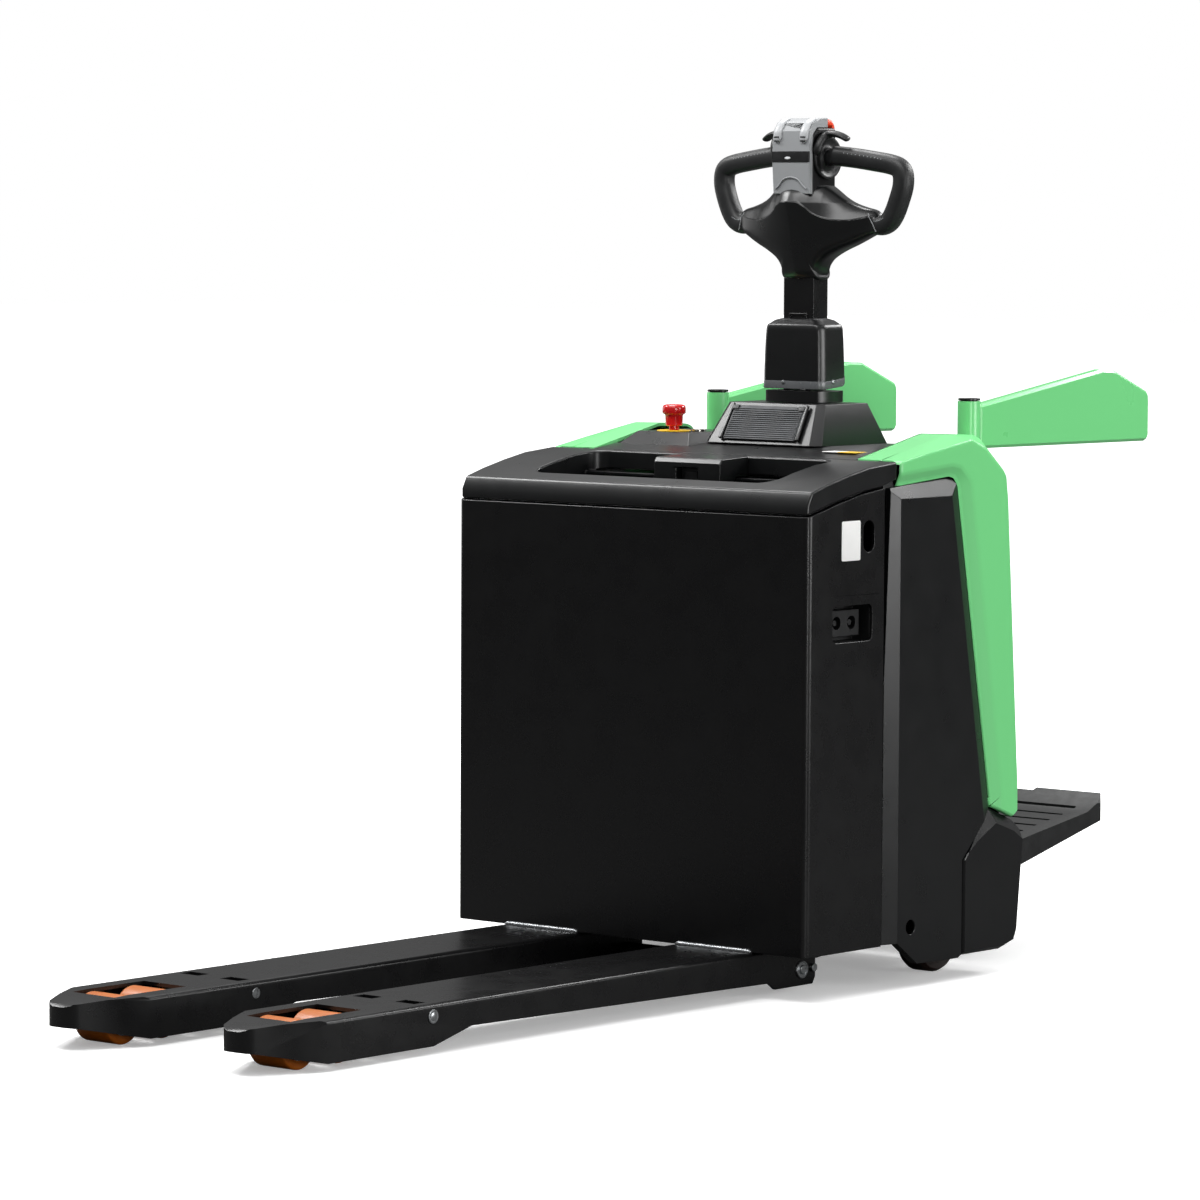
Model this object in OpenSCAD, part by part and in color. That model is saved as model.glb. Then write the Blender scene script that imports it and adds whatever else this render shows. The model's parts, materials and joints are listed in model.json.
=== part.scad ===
// Electric rider pallet truck with a lithium battery box, a fold-down platform, folding side arms
// and a tiller. Forks point along -Y, the operator stands at +Y, the floor is z = 0 and the origin
// is on the floor under the middle of the truck. Lengths are millimetres. "Face" below means the
// front face of the battery box, and most y values are counted from it.

/* [Truck] */
// Overall width over the side covers
truck_w = 770; // [760:1:790]
// Length of the forks in front of the battery box
fork_len = 1150; // [1100:5:1220]
// Reach of the side arms behind the battery box's front face
rear_reach = 1098; // [1090:1:1105]
// How far the forks rise
lift_travel = 120; // [100:1:125]

/* [Forks] */
// Width of one fork
fork_w = 170; // [160:1:180]
// Width over both forks
fork_spread = 550; // [540:1:560]
// Height of the lowered fork's top face
fork_top = 80; // [79:1:82]
// Thickness of the fork's folded plate
fork_t = 6; // [5:0.5:7]
// Diameter of a load roller
roller_d = 78; // [74:1:80]
// Length of a load roller
roller_l = 74; // [60:1:76]

/* [Battery box] */
// Depth of the battery box from front to back
box_len = 205; // [200:1:210]
// Plate thickness of the battery box
box_t = 6; // [5:0.5:8]
// Height of the box's front top edge
box_front_top = 808; // [806:1:810]

/* [Drive unit] */
// Distance of the steering axis behind the face
steer_y = 475; // [470:1:480]
// Diameter of the drive wheel
drive_d = 230; // [220:1:235]
// Width of the drive wheel
drive_w = 75; // [65:1:78]
// Diameter of a caster wheel
caster_d = 115; // [110:1:118]
// Sideways distance of a caster's swivel axis
caster_x = 268; // [264:1:277]

/* [Platform and arms] */
// Half the width of the platform
platform_half = 279; // [265:1:280]
// Sideways distance of an arm's post
post_x = 280; // [276:1:282]
// Thickness of an arm
arm_t = 24; // [20:1:26]

/* [Tiller] */
// Height of the tiller's tilt axis
tilt_z = 1060; // [1058:1:1062]
// Diameter of a handle's tube
grip_d = 36; // [32:1:38]
// Half the width over the handles
handle_half = 216; // [212:1:220]

/* [Hidden] */
$fn = 48;

// Places on the truck
half_w = truck_w / 2;
face_y = fork_len - (fork_len + rear_reach) / 2;
fork_x = fork_spread / 2 - fork_w / 2;
gap = 0.3;
running = 0.05;
hairline = 0.01;
green = "#78d888";
black_paint = "#2b2c2e";
black_plastic = "#333436";
grey_plastic = "#8d9092";
steel = "#a9abad";
orange_tread = "#c8742c";

// Load roller linkage: an arm swings the tandem rollers down as the forks rise
roller_r = roller_d / 2;
roller_pitch = 90;
bogie_y = -997;
arm_pivot = [-792, 60];
arm_len = norm([bogie_y - arm_pivot[0], arm_pivot[1] - roller_r]);
arm_low = asin((arm_pivot[1] - roller_r) / arm_len);
arm_high = asin((arm_pivot[1] - roller_r + lift_travel) / arm_len);
arm_swing = arm_high - arm_low;
pull_r = 26;
arm_pin = [arm_pivot[0] - pull_r * sin(arm_swing / 2), arm_pivot[1] - pull_r * cos(arm_swing / 2)];
rod_travel = 2 * pull_r * sin(arm_swing / 2);

// Rocker under the battery box: its long arm rests in the chassis, its short levers pull the rods
rocker_pivot = [130, 39];
rocker_len = 200;
rocker_half_swing = asin(lift_travel / 2 / rocker_len);
rocker_end = rocker_pivot + rocker_len * [cos(rocker_half_swing), sin(rocker_half_swing)];
lever_len = rod_travel / 2 / sin(rocker_half_swing);
lever_pin = rocker_pivot + lever_len * [-sin(rocker_half_swing), cos(rocker_half_swing)];
rocker_arm_x = 150;
link_pin_r = 5;
rod_eye_play = 1.3;

// Heights and places of the drive unit, the covers and the platform
base_plate_z = 150;
mount_plate_z = 292;
neck_r = 70;
flange_z = 320;
motor_top = 500;
pod_top = 975;
deck_z = 905;
post = [post_x, 578];
hinge = [634, 165];
caster_y = 455;
ram_y = 262;
caster_trail = 32;
post_r = 14;
throttle_at = [4, 1400];

// ---- helpers -------------------------------------------------------------------------------

// Moves what is drawn from the box's front face into the truck's own frame
module from_face() { translate([0, face_y, 0]) children(); }

// Carries a (y, z) outline from x0 to x1
module side_slab(x0, x1) {
    translate([x0, 0, 0]) rotate([90, 0, 90]) linear_extrude(x1 - x0) children();
}

// Carries an (x, z) outline from y0 to y1
module front_slab(y0, y1) {
    translate([0, y1, 0]) rotate([90, 0, 0]) linear_extrude(y1 - y0) children();
}

// Carries an (x, y) outline from z0 to z1
module plan_slab(z0, z1) { translate([0, 0, z0]) linear_extrude(z1 - z0) children(); }

module block(x, y, z) {
    translate([x[0], y[0], z[0]]) cube([x[1] - x[0], y[1] - y[0], z[1] - z[0]]);
}

module x_rod(r, x, at) { translate([x[0], at[0], at[1]]) rotate([0, 90, 0]) cylinder(r = r, h = x[1] - x[0]); }
module y_rod(r, y, at) { translate([at[0], y[0], at[1]]) rotate([-90, 0, 0]) cylinder(r = r, h = y[1] - y[0]); }
module z_rod(r, z, at) { translate([at[0], at[1], z[0]]) cylinder(r = r, h = z[1] - z[0]); }

// Repeats a right-hand piece on the left
module both_sides() {
    children();
    mirror([1, 0, 0]) children();
}

// A rectangle with round corners, made of true arcs
module round_rect(low, high, r) {
    translate([low[0] + r, low[1]]) square([high[0] - low[0] - 2 * r, high[1] - low[1]]);
    translate([low[0], low[1] + r]) square([high[0] - low[0], high[1] - low[1] - 2 * r]);
    for (x = [low[0] + r, high[0] - r], y = [low[1] + r, high[1] - r]) translate([x, y]) circle(r);
}

// A link between two round eyes, in its own plane
module link_outline(a, b, ra, rb) {
    d = (b - a) / norm(b - a);
    n = [-d[1], d[0]];
    translate(a) circle(ra);
    translate(b) circle(rb);
    polygon([a + n * (ra - 0.02), b + n * (rb - 0.02), b - n * (rb - 0.02), a - n * (ra - 0.02)]);
}

// A rod between two points
module rod_between(a, b, r) {
    d = b - a;
    translate(a) rotate([0, acos(d[2] / norm(d)), atan2(d[1], d[0])]) cylinder(r = r, h = norm(d));
}

// ---- forks and load rollers ----------------------------------------------------------------

// The fork from the side: deep by the rollers, shallow along its length, a lug at the heel
module fork_outline() {
    polygon([[-fork_len, fork_top - 12], [-fork_len + 8, fork_top - 7], [-1095, fork_top - 2],
        [-1040, fork_top], [0, fork_top], [0, fork_top - gap], [167, fork_top - gap], [167, 24],
        [160, 12], [60, 12], [43, 24], [-700, 36], [-790, 22], [-1030, 22], [-fork_len, 36]]);
}

// The fork from above: full width, then a taper to a rounded nose
module fork_plan() {
    w = fork_w / 2;
    tip = -fork_len;
    polygon([[-w, 167], [-w, -1030], [-34, tip + 16], [-24, tip + 5], [-12, tip], [12, tip],
        [24, tip + 5], [34, tip + 16], [w, -1030], [w, 167]]);
}

module fork() {
    w = fork_w / 2;
    inside = w - fork_t;
    bend_r = 7;
    difference() {
        intersection() {
            side_slab(-w, w) fork_outline();
            plan_slab(0, fork_top) fork_plan();
            front_slab(-fork_len - 10, 200) union() {
                round_rect([-w, fork_top - 30], [w, fork_top], bend_r);
                translate([-w, 0]) square([fork_w, fork_top - 20]);
            }
        }
        block([-inside, inside], [-1028, 60], [0, fork_top - fork_t]);
        block([-inside, inside], [55, 180], [0, fork_top + 1]);
        block([-52, 52], [-1092, -1020], [0, fork_top - fork_t]);
        block([-47, 47], [-1072, -914], [0, fork_top + 1]);
        for (x = [-45, 45]) block([x - 21, x + 21], [-814, -788], [0, fork_top + 1]);
        x_rod(9 + running, [-w - 1, w + 1], arm_pivot);
        x_rod(12 + running, [-w - 1, w + 1], rocker_pivot);
    }
}

module left_fork() { color(black_paint) from_face() translate([-fork_x, 0, 0]) fork(); }
module right_fork() { color(black_paint) from_face() translate([fork_x, 0, 0]) fork(); }

// Pins that carry the roller arms, with their heads outside the forks
module arm_axles() {
    color(steel) from_face() both_sides() translate([fork_x, 0, 0]) {
        x_rod(9, [-fork_w / 2, fork_w / 2], arm_pivot);
        x_rod(11, [fork_w / 2, fork_w / 2 + 2], arm_pivot);
        x_rod(7, [fork_w / 2, fork_w / 2 + 6], [rocker_pivot[0] + 29, rocker_pivot[1] + 1]);
    }
}

module roller_arm() {
    eye = [bogie_y, roller_r];
    color(black_paint) from_face() {
        difference() {
            union() {
                both_sides() side_slab(48, 56) link_outline(arm_pivot, eye, 13, 13);
                x_rod(13, [-48, 48], arm_pivot);
                both_sides() side_slab(9, 15) link_outline(arm_pivot, arm_pin, 13, 9);
            }
            x_rod(9 + running, [-60, 60], arm_pivot);
        }
        both_sides() x_rod(8, [40, 48], eye);
        x_rod(link_pin_r, [-9, 9], arm_pin);
    }
}

module left_roller_arm() { translate([-fork_x, 0, 0]) roller_arm(); }
module right_roller_arm() { translate([fork_x, 0, 0]) roller_arm(); }

// Side plates that hold two rollers in line and rock on the arm's stubs
module bogie() {
    front = [bogie_y - roller_pitch / 2, roller_r];
    rear = [bogie_y + roller_pitch / 2, roller_r];
    color(steel) from_face() {
        both_sides() difference() {
            side_slab(40, 46) link_outline(front, rear, 16, 16);
            x_rod(8 + running, [38, 50], [bogie_y, roller_r]);
        }
        for (centre = [front, rear]) x_rod(6, [-40, 40], centre);
    }
}

module left_bogie() { translate([-fork_x, 0, 0]) bogie(); }
module right_bogie() { translate([fork_x, 0, 0]) bogie(); }

module load_roller(x, y) {
    color(orange_tread) from_face() translate([x, bogie_y + y, roller_r]) rotate([0, 90, 0])
        rotate_extrude() polygon([[6 + running, -roller_l / 2], [roller_r - 3, -roller_l / 2],
            [roller_r, -roller_l / 2 + 3], [roller_r, roller_l / 2 - 3],
            [roller_r - 3, roller_l / 2], [6 + running, roller_l / 2]]);
}

module left_front_roller() { load_roller(-fork_x, -roller_pitch / 2); }
module left_rear_roller() { load_roller(-fork_x, roller_pitch / 2); }
module right_front_roller() { load_roller(fork_x, -roller_pitch / 2); }
module right_rear_roller() { load_roller(fork_x, roller_pitch / 2); }

// Rods that pull the roller arms; each eye has play for the arc its pin moves on
module pull_rods() {
    near = [0, lever_pin[0], lever_pin[1]];
    far = [0, arm_pin[0], arm_pin[1]];
    eye_r = link_pin_r + rod_eye_play;
    color(steel) from_face() both_sides() translate([fork_x, 0, 0]) difference() {
        union() {
            rod_between(near, far, 6);
            x_rod(11.5, [-7, 7], lever_pin);
            x_rod(11.5, [-7, 7], arm_pin);
        }
        x_rod(eye_r, [-8, 8], lever_pin + [0, 0.6]);
        x_rod(eye_r, [-8, 8], arm_pin - [0, 0.9]);
    }
}

module lift_rocker() {
    shaft_end = fork_spread / 2 - 1;
    color(black_paint) from_face() {
        x_rod(12, [-shaft_end, shaft_end], rocker_pivot);
        both_sides() {
            translate([fork_x, 0, 0]) {
                for (side = [-1, 1]) translate([12 * side, 0, 0]) side_slab(-3, 3)
                    link_outline(rocker_pivot, lever_pin, 15, 9);
                x_rod(link_pin_r, [-15, 15], lever_pin);
            }
            side_slab(rocker_arm_x - 6, rocker_arm_x + 6) link_outline(rocker_pivot, rocker_end, 15, 13);
            for (x = [rocker_arm_x - 18, rocker_arm_x + 6 + hairline])
                x_rod(8, [x, x + 12 - hairline], rocker_end);
        }
    }
}

// ---- battery box and tray lid --------------------------------------------------------------

// The box from the side: its top edge climbs towards the operator in a shallow arc
module box_outline(lower = 0) {
    polygon([[0, fork_top], [box_len, fork_top], [box_len, 849 - lower], [145, 841 - lower],
        [78, 827 - lower], [35, 816 - lower], [0, box_front_top - lower]]);
}

// A lifting slot and the plate around it, let into the box's side wall with a hairline seam
module lifting_slot() {
    slot = [163, 771];
    translate([slot[0] - 14.5, slot[1] - 12]) square([29, 24]);
    for (end = [-12, 12]) translate([slot[0], slot[1] + end]) circle(14.5);
}

// The plate around the charging port, let into the right wall in the same way
module port_plate(seam = 0) {
    translate([50 + seam, 580 + seam]) square([140 - 2 * seam, 95 - 2 * seam]);
}

module lifting_plate(seam = 0) {
    translate([133 + seam, 731 + seam]) square([62 - 2 * seam, 80 - 2 * seam]);
}

module battery_box() {
    wall = half_w - box_t;
    color(black_paint) from_face() {
        both_sides() side_slab(wall, half_w) difference() {
            lifting_plate(hairline);
            lifting_slot();
        }
        side_slab(wall, half_w) difference() {
            port_plate(hairline);
            round_rect([67, 597], [173, 658], 10);
        }
    }
    color(black_paint) from_face() difference() {
        intersection() {
            side_slab(-half_w, half_w) box_outline();
            plan_slab(0, 900) union() {
                round_rect([-half_w, 0], [half_w, 60], 12);
                translate([-half_w, 30]) square([truck_w, box_len]);
            }
        }
        block([-wall, wall], [box_t, box_len - box_t], [fork_top + box_t, 900]);
        for (side = [-1, 1]) side_slab(side * half_w - 20, side * half_w + 20) lifting_plate();
        side_slab(half_w - 20, half_w + 20) port_plate();
    }
}

module battery_pack() {
    z0 = fork_top + box_t;
    color("#3b4046") from_face() {
        difference() {
            block([-340, 340], [22, 186], [z0, 560]);
            for (x = [-250, 250]) block([x - 45, x + 45], [60, 148], [540, 561]);
        }
        for (x = [-250, 250]) y_rod(7, [60, 148], [x, 552]);
    }
}

// Charging socket in its dark recess behind the opening in the right wall
module charge_socket() {
    wall = half_w - box_t;
    color("#1c1d1f") from_face() {
        difference() {
            block([wall - 42, wall], [61, 179], [591, 664]);
            block([wall - 36, wall + 1], [67, 173], [597, 658]);
        }
        difference() {
            block([wall - 36, wall - 12], [80, 160], [606, 649]);
            for (y = [100, 140]) x_rod(11, [wall - 30, wall], [y, 628]);
        }
        for (y = [100, 140]) x_rod(5, [wall - 36, wall - 16], [y, 628]);
    }
}

// The lid from the side: an upright lip, a sloping front band and a long arched top
module lid_outline(inset = 0) {
    i = inset;
    polygon([[3 + i, box_front_top + 3], [3 + i, 828 - i], [14 + i, 849 - i], [56, 861 - i],
        [111, 874 - i], [167, 885 - i], [244 - i, 892 - i], [244 - i, 862], [box_len, 852],
        [145, 844], [78, 830], [35, 819]]);
}

module tray_lid() {
    side = half_w - 4;
    tray_x = 263;
    wall = 4;
    floor_z = 792;
    color(black_plastic) from_face() {
        difference() {
            union() {
                difference() {
                    side_slab(-side, side) lid_outline();
                    side_slab(-side + wall, side - wall) translate([0, -0.01]) lid_outline(wall);
                }
                intersection() {
                    plan_slab(floor_z, 900) round_rect([-tray_x - wall, 46], [tray_x + wall, 233], 34);
                    union() {
                        side_slab(-side, side) lid_outline();
                        block([-tray_x - wall, tray_x + wall], [46, box_len - box_t - 1], [floor_z, 850]);
                    }
                }
            }
            plan_slab(floor_z + wall, 900) intersection() {
                round_rect([-tray_x, 50], [tray_x, 229], 30);
                translate([-tray_x, 0]) square([2 * tray_x, 195]);
            }
            plan_slab(855, 900) round_rect([-tray_x, 50], [tray_x, 229], 30);
        }
    }
}

// Block standing in the rear of the tray, with a square pocket for a plug-in module
module tray_block() {
    color(black_plastic) from_face() difference() {
        union() {
            block([-73, 73], [152, 195], [796, 880]);
            side_slab(-73, 73) polygon([[152, 880], [195, 880], [195, 856], [229, 856], [229, 891],
                [158, 888]]);
        }
        block([-24, 24], [150, 172], [838, 872]);
    }
}

// Tongue on the box's rear wall that the lift cylinder pushes up
module lift_bracket() {
    color(black_paint) from_face() {
        block([-34, 34], [box_len, 292], [560, 576]);
        for (x = [-34, 26]) side_slab(x, x + 8)
            polygon([[box_len, 576], [292, 576], [box_len + 6, 660], [box_len, 660]]);
    }
}

module lift_ram() {
    color("#c9ccce") from_face() z_rod(18, [190, 560], [0, ram_y]);
}

// ---- drive-unit chassis and its covers -----------------------------------------------------

// Two pairs of guides under the base plate that hold the rocker's end pins. Each is bolted up
// from a head block, two spacers and a keeper bar, with hairline seams between them
module rocker_lugs() {
    play = 1;
    y = [302, rocker_end[0] - 10 - play, rocker_end[0] + 20 + play, 350];
    low = rocker_end[1] - 8 - play;
    high = rocker_end[1] + 8 + play;
    spacer = [low + hairline, high - hairline];
    color(black_paint) from_face() both_sides()
        for (x = [rocker_arm_x - 18, rocker_arm_x + 8]) {
            block([x, x + 10], [y[0], y[3]], [high, base_plate_z]);
            block([x, x + 10], [y[0], y[1]], spacer);
            block([x, x + 10], [y[2], y[3]], spacer);
            block([x, x + 10], [y[0], y[3]], [78, low]);
        }
}

module chassis_frame() {
    z0 = base_plate_z;
    side = half_w - 19;
    plate = 8;
    color(black_paint) from_face() difference() {
        union() {
            block([-side, side], [226, 546], [z0, z0 + 10]);
            block([-side, side], [222, 230], [z0, 846]);
            both_sides() side_slab(side - plate, side)
                polygon([[226, z0], [546, z0], [566, 330], [538, 846], [226, 836]]);
            block([-side, side], [230, 552], [mount_plate_z, mount_plate_z + 12]);
            block([-side, side], [230, 538], [836, 846]);
            block([-294, 294], [600, 610], [124, 262]);
            both_sides() {
                block([282, 294], [540, 604], [124, 262]);
                for (x = [200, 268]) side_slab(x, x + plate) polygon([[606, 142], [606, 176],
                    [626, 178], [640, 178], [647, 171], [647, 158], [636, 150]]);
            }
        }
        z_rod(178, [z0 - 1, z0 + 11], [0, steer_y]);
        z_rod(100 + running, [mount_plate_z - 1, mount_plate_z + 13], [0, steer_y]);
        z_rod(31, [mount_plate_z - 1, mount_plate_z + 13], [0, ram_y]);
        z_rod(40, [835, 847], [0, steer_y]);
        block([-44, 44], [221, 231], [548, 800]);
        both_sides() z_rod(12 + running, [z0 - 1, z0 + 11], [caster_x, caster_y]);
        both_sides() x_rod(8 + running, [195, 280], hinge);
    }
}

// The black side cover from the side
module side_cover_outline() {
    polygon([[217, 80], [250, 80], [305, 41], [421, 39], [430, 44], [430, 206], [514, 288],
        [513, 306], [417, 846], [408, 858], [394, 862], [258, 850], [229, 848], [218, 520]]);
}

// The cover's form, or the same form a skin's thickness further in: it falls away at the front,
// at the top and along its slanting rear edge
module side_cover_form(inset = 0) {
    outer = half_w - inset;
    back = half_w - (inset > 0 ? 20 : 16);
    lean = atan(96 / 540);
    difference() {
        intersection() {
            side_slab(back, outer) if (inset > 0) offset(delta = -inset) side_cover_outline();
                else side_cover_outline();
            plan_slab(0, 900) polygon([[half_w - 20, 210], [outer - 9, 210], [outer - 9, 217],
                [outer, 250], [outer, 600], [half_w - 20, 600]]);
            front_slab(200, 600) polygon([[half_w - 20, 0], [outer, 0], [outer, 829 - inset],
                [outer - 15, 864 - inset], [half_w - 20, 864 - inset]]);
        }
        translate([outer, 485 - inset, 306]) rotate([lean, 0, 0]) rotate([0, 0, atan(9 / 28)])
            block([0, 40], [0, 90], [-60, 620]);
    }
}

module side_cover() {
    skin = 4;
    difference() {
        side_cover_form();
        side_cover_form(skin);
        x_rod(12.5, [half_w - 20, half_w + 1], [286, 105]);
    }
}

module right_side_cover() { color(black_plastic) from_face() side_cover(); }
module left_side_cover() { color(black_plastic) from_face() mirror([1, 0, 0]) side_cover(); }

// The green frame at its outer face, and further in where its top stands higher
module green_face() {
    polygon([[250, 891], [328, 905], [386, 914], [447, 923], [486, 908], [549, 859], [555, 818],
        [590, 331], [591, 277], [576, 268], [519, 290.5], [400, 850], [250, 840]]);
}

module green_core() {
    polygon([[250, 892], [425, 931], [505, 928], [521, 922], [530, 900], [549, 859], [555, 818],
        [590, 331], [591, 277], [576, 268], [519, 290.5], [400, 850], [250, 840]]);
}

// The window that the black side cover fills, moved back and up by a chamfer
module green_window(back, up) {
    polygon([[240, 852 + up], [258, 852.5 + up], [394, 864 + up], [409 + back / 3, 860 + up],
        [420 + back, 846 + up / 3], [516 + back, 306], [517 + back, 258], [300, 240],
        [240, 240]]);
}

// The hollow inside the frame, whose top stays 4 mm under the skin
module green_hollow(top) {
    polygon(concat([[245, 887]], top, [[544, 857], [550, 817], [585, 331], [585, 250],
        [519, 250], [245, 830]]));
}

module green_frame() {
    inner = 290;
    difference() {
        hull() {
            side_slab(inner, half_w - 40) green_core();
            side_slab(half_w - 1, half_w) green_face();
        }
        side_slab(inner - 1, half_w + 1) green_window(1, 1);
        hull() {
            side_slab(half_w - 9, half_w - 8) green_window(2, 2);
            side_slab(half_w, half_w + 1) green_window(29, 18);
        }
        side_slab(inner - 1, half_w - 44) green_hollow([[426, 926], [503, 923], [517, 918],
            [525, 899]]);
        side_slab(inner - 1, half_w - 16) green_hollow([[317, 901.5], [365, 910], [401, 915.5],
            [438, 921], [468, 920], [491, 911], [497, 908.5], [534, 880], [538, 872]]);
        block([inner - 1, 300], [525, 560], [840, 896 + gap]);
    }
}

module right_green_frame() { color(green) from_face() green_frame(); }
module left_green_frame() { color(green) from_face() mirror([1, 0, 0]) green_frame(); }

// The bumper at its outer face, and behind its bevel
module bumper_face() {
    polygon([[440, 48], [440, 205], [450, 218], [478, 237], [526, 262], [578, 244], [604, 228],
        [588, 74], [580, 56], [552, 48]]);
}

module bumper_core() {
    polygon([[433, 41], [433, 206], [447, 219], [517, 287], [523, 286], [584, 263], [608, 246],
        [616, 229], [597, 70], [588, 52], [552, 41]]);
}

module bumper() {
    inner = 296;
    difference() {
        hull() {
            side_slab(inner, half_w - 12) bumper_core();
            side_slab(half_w - 1, half_w) bumper_face();
        }
        side_slab(inner - 1, half_w - 15) polygon([[425, 30], [425, 205], [446, 218], [517, 282],
            [523, 281], [582, 258], [603, 243], [611, 228], [592, 70], [580, 30]]);
        block([half_w - 28, half_w - 18], [420, 563], [200, 290]);
    }
}

module right_bumper() { color(black_plastic) from_face() bumper(); }
module left_bumper() { color(black_plastic) from_face() mirror([1, 0, 0]) bumper(); }

// Deck behind the tray: a plate with a raised pad on the left for the emergency stop
module deck_cover() {
    edge = 289;
    color(black_plastic) from_face() difference() {
        union() {
            side_slab(-edge, edge) polygon([[248, 892], [300, 899], [380, deck_z], [548, deck_z],
                [548, 850], [543, 850], [543, deck_z - 5], [380, deck_z - 5], [300, 894], [253, 887],
                [253, 866], [248, 866]]);
            hull() {
                plan_slab(deck_z - 12, deck_z - 10) polygon([[-285, 300], [-120, 300], [-120, 400],
                    [-160, 500], [-285, 500]]);
                plan_slab(deck_z + 14, deck_z + 16) polygon([[-262, 335], [-146, 335], [-146, 385],
                    [-170, 470], [-262, 470]]);
            }
        }
        z_rod(16, [deck_z - 20, deck_z + 30], [-205, 365]);
        z_rod(9 + running, [deck_z - 20, deck_z + 30], [-168, 388]);
        z_rod(52, [deck_z - 20, deck_z + 10], [0, steer_y]);
        both_sides() block([post_x - 20, post_x + 20], [535, 560], [840, 897]);
    }
}

// Upright housing around the steering column
module pod_cover() {
    color(black_plastic) from_face() difference() {
        hull() {
            plan_slab(deck_z, deck_z + 1) polygon([[-128, 362], [-112, 346], [112, 346], [128, 362],
                [128, 544], [120, 552], [-120, 552], [-128, 544]]);
            plan_slab(pod_top - 1, pod_top) polygon([[-106, 398], [-94, 388], [94, 388], [106, 398],
                [106, 516], [98, 524], [-98, 524], [-106, 516]]);
        }
        hull() {
            plan_slab(deck_z - 1, deck_z) polygon([[-122, 364], [-108, 352], [108, 352], [122, 364],
                [122, 538], [-122, 538]]);
            plan_slab(pod_top - 6, pod_top - 5) polygon([[-100, 402], [-90, 394], [90, 394],
                [100, 402], [100, 512], [-100, 512]]);
        }
        z_rod(30, [pod_top - 10, pod_top + 1], [0, steer_y]);
    }
}

// Ribbed panel on the pod's sloping front
module pod_grille() {
    lean = atan(42 / 70);
    length = 66;
    color("#4a4c4f") from_face() translate([0, 348.6, deck_z + 7]) rotate([-lean, 0, 0])
        translate([0, -4, 0]) {
            block([-78, 78], [0, 3], [0, length]);
            for (z = [4:4:length - 4]) block([-76, 76], [-1.5, 0], [z - 1, z + 1]);
        }
}

module rear_panel() {
    color(black_plastic) from_face() {
        side_slab(-288, 288) polygon([[571, 270], [577, 270], [577, 264], [600, 264], [600, 270],
            [590, 274], [588, 331], [551, 848], [545, 848], [577, 331], [580, 274]]);
    }
}

// ---- controls on the deck ------------------------------------------------------------------

module estop_base() {
    z = deck_z + 16;
    color("#e8c52a") from_face() difference() {
        union() {
            z_rod(30, [z, z + 2], [-205, 365]);
            z_rod(15, [z - 30, z], [-205, 365]);
        }
        z_rod(9 + running, [z - 31, z + 3], [-205, 365]);
    }
}

module estop_knob() {
    z = deck_z + 18;
    color("#d5202a") from_face() translate([-205, 365, z]) {
        rotate_extrude() polygon([[0, 8], [14, 8], [15, 14], [15, 24], [19.5, 27], [19.5, 34],
            [18, 38], [0, 40]]);
        z_rod(9, [-24, 8], [0, 0]);
    }
}

module key_switch() {
    z = deck_z + 16;
    color("#b9bcbe") from_face() translate([-168, 388, z]) difference() {
        union() {
            z_rod(9, [-30, 0], [0, 0]);
            z_rod(12, [0, 4], [0, 0]);
        }
        block([-1.2, 1.2], [-5, 5], [-6, 5]);
    }
}

// ---- hydraulic unit and electrics ----------------------------------------------------------

module lift_cylinder() {
    color("#6e7276") from_face() difference() {
        union() {
            z_rod(30, [base_plate_z + 10, 450], [0, ram_y]);
            block([-32, 32], [230, ram_y], [180, 220]);
        }
        z_rod(18 + running, [185, 451], [0, ram_y]);
    }
}

// Behind the covers: the oil tank with its pump motor, and the ribbed motor controller
module power_units() {
    color("#8a8e92") from_face() {
        block([-345, -180], [250, 420], [330, 520]);
        z_rod(45, [520, 680], [-262, 330]);
        z_rod(16, [520, 545], [-205, 400]);
        block([160, 345], [250, 330], [330, 600]);
        for (i = [0:8]) block([170, 335], [330, 348], [340 + i * 28, 346 + i * 28]);
    }
}

// ---- drive unit and steering ---------------------------------------------------------------

module slew_bearing() {
    color(steel) from_face() translate([0, steer_y, mount_plate_z]) difference() {
        cylinder(r = 100, h = 12);
        translate([0, 0, -1]) cylinder(r = neck_r + running, h = 14);
    }
}

module gearbox() {
    axle_z = drive_d / 2;
    color("#7b7f83") from_face() translate([0, steer_y, 0]) difference() {
        union() {
            z_rod(neck_r, [290, 306], [0, 0]);
            z_rod(86, [306, flange_z], [0, 0]);
            z_rod(92, [256, 290], [0, 0]);
            block([44, 92], [-48, 48], [axle_z, 256]);
            x_rod(48, [44, 92], [0, axle_z]);
        }
        x_rod(17 + running, [40, 80], [0, axle_z]);
    }
}

module drive_motor() {
    color("#2f3133") from_face() translate([0, steer_y, 0]) {
        z_rod(66, [flange_z, motor_top - 40], [0, 0]);
        z_rod(56, [motor_top - 40, motor_top], [0, 0]);
        for (a = [0:30:330]) rotate([0, 0, a]) block([62, 69], [-2, 2], [330, motor_top - 50]);
    }
}

// Bridge over the motor and the shaft that the tiller turns
module steering_shaft() {
    color(steel) from_face() translate([0, steer_y, 0]) {
        for (x = [-80, 72]) block([x, x + 8], [-18, 18], [flange_z, motor_top + 14]);
        block([-80, 80], [-18, 18], [motor_top + 14, motor_top + 24]);
        z_rod(20, [motor_top + 24, 976], [0, 0]);
    }
}

module drive_wheel() {
    axle_z = drive_d / 2;
    w = drive_w / 2;
    color("#55402f") from_face() translate([0, steer_y, axle_z]) rotate([0, 90, 0]) {
        rotate_extrude() polygon([[0, -w + 12], [60, -w + 12], [70, -w + 2], [drive_d / 2 - 6, -w],
            [drive_d / 2, -w + 6], [drive_d / 2, w - 6], [drive_d / 2 - 6, w], [70, w - 2],
            [60, w - 12], [0, w - 12]]);
        cylinder(r = 17, h = 78);
    }
}

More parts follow.
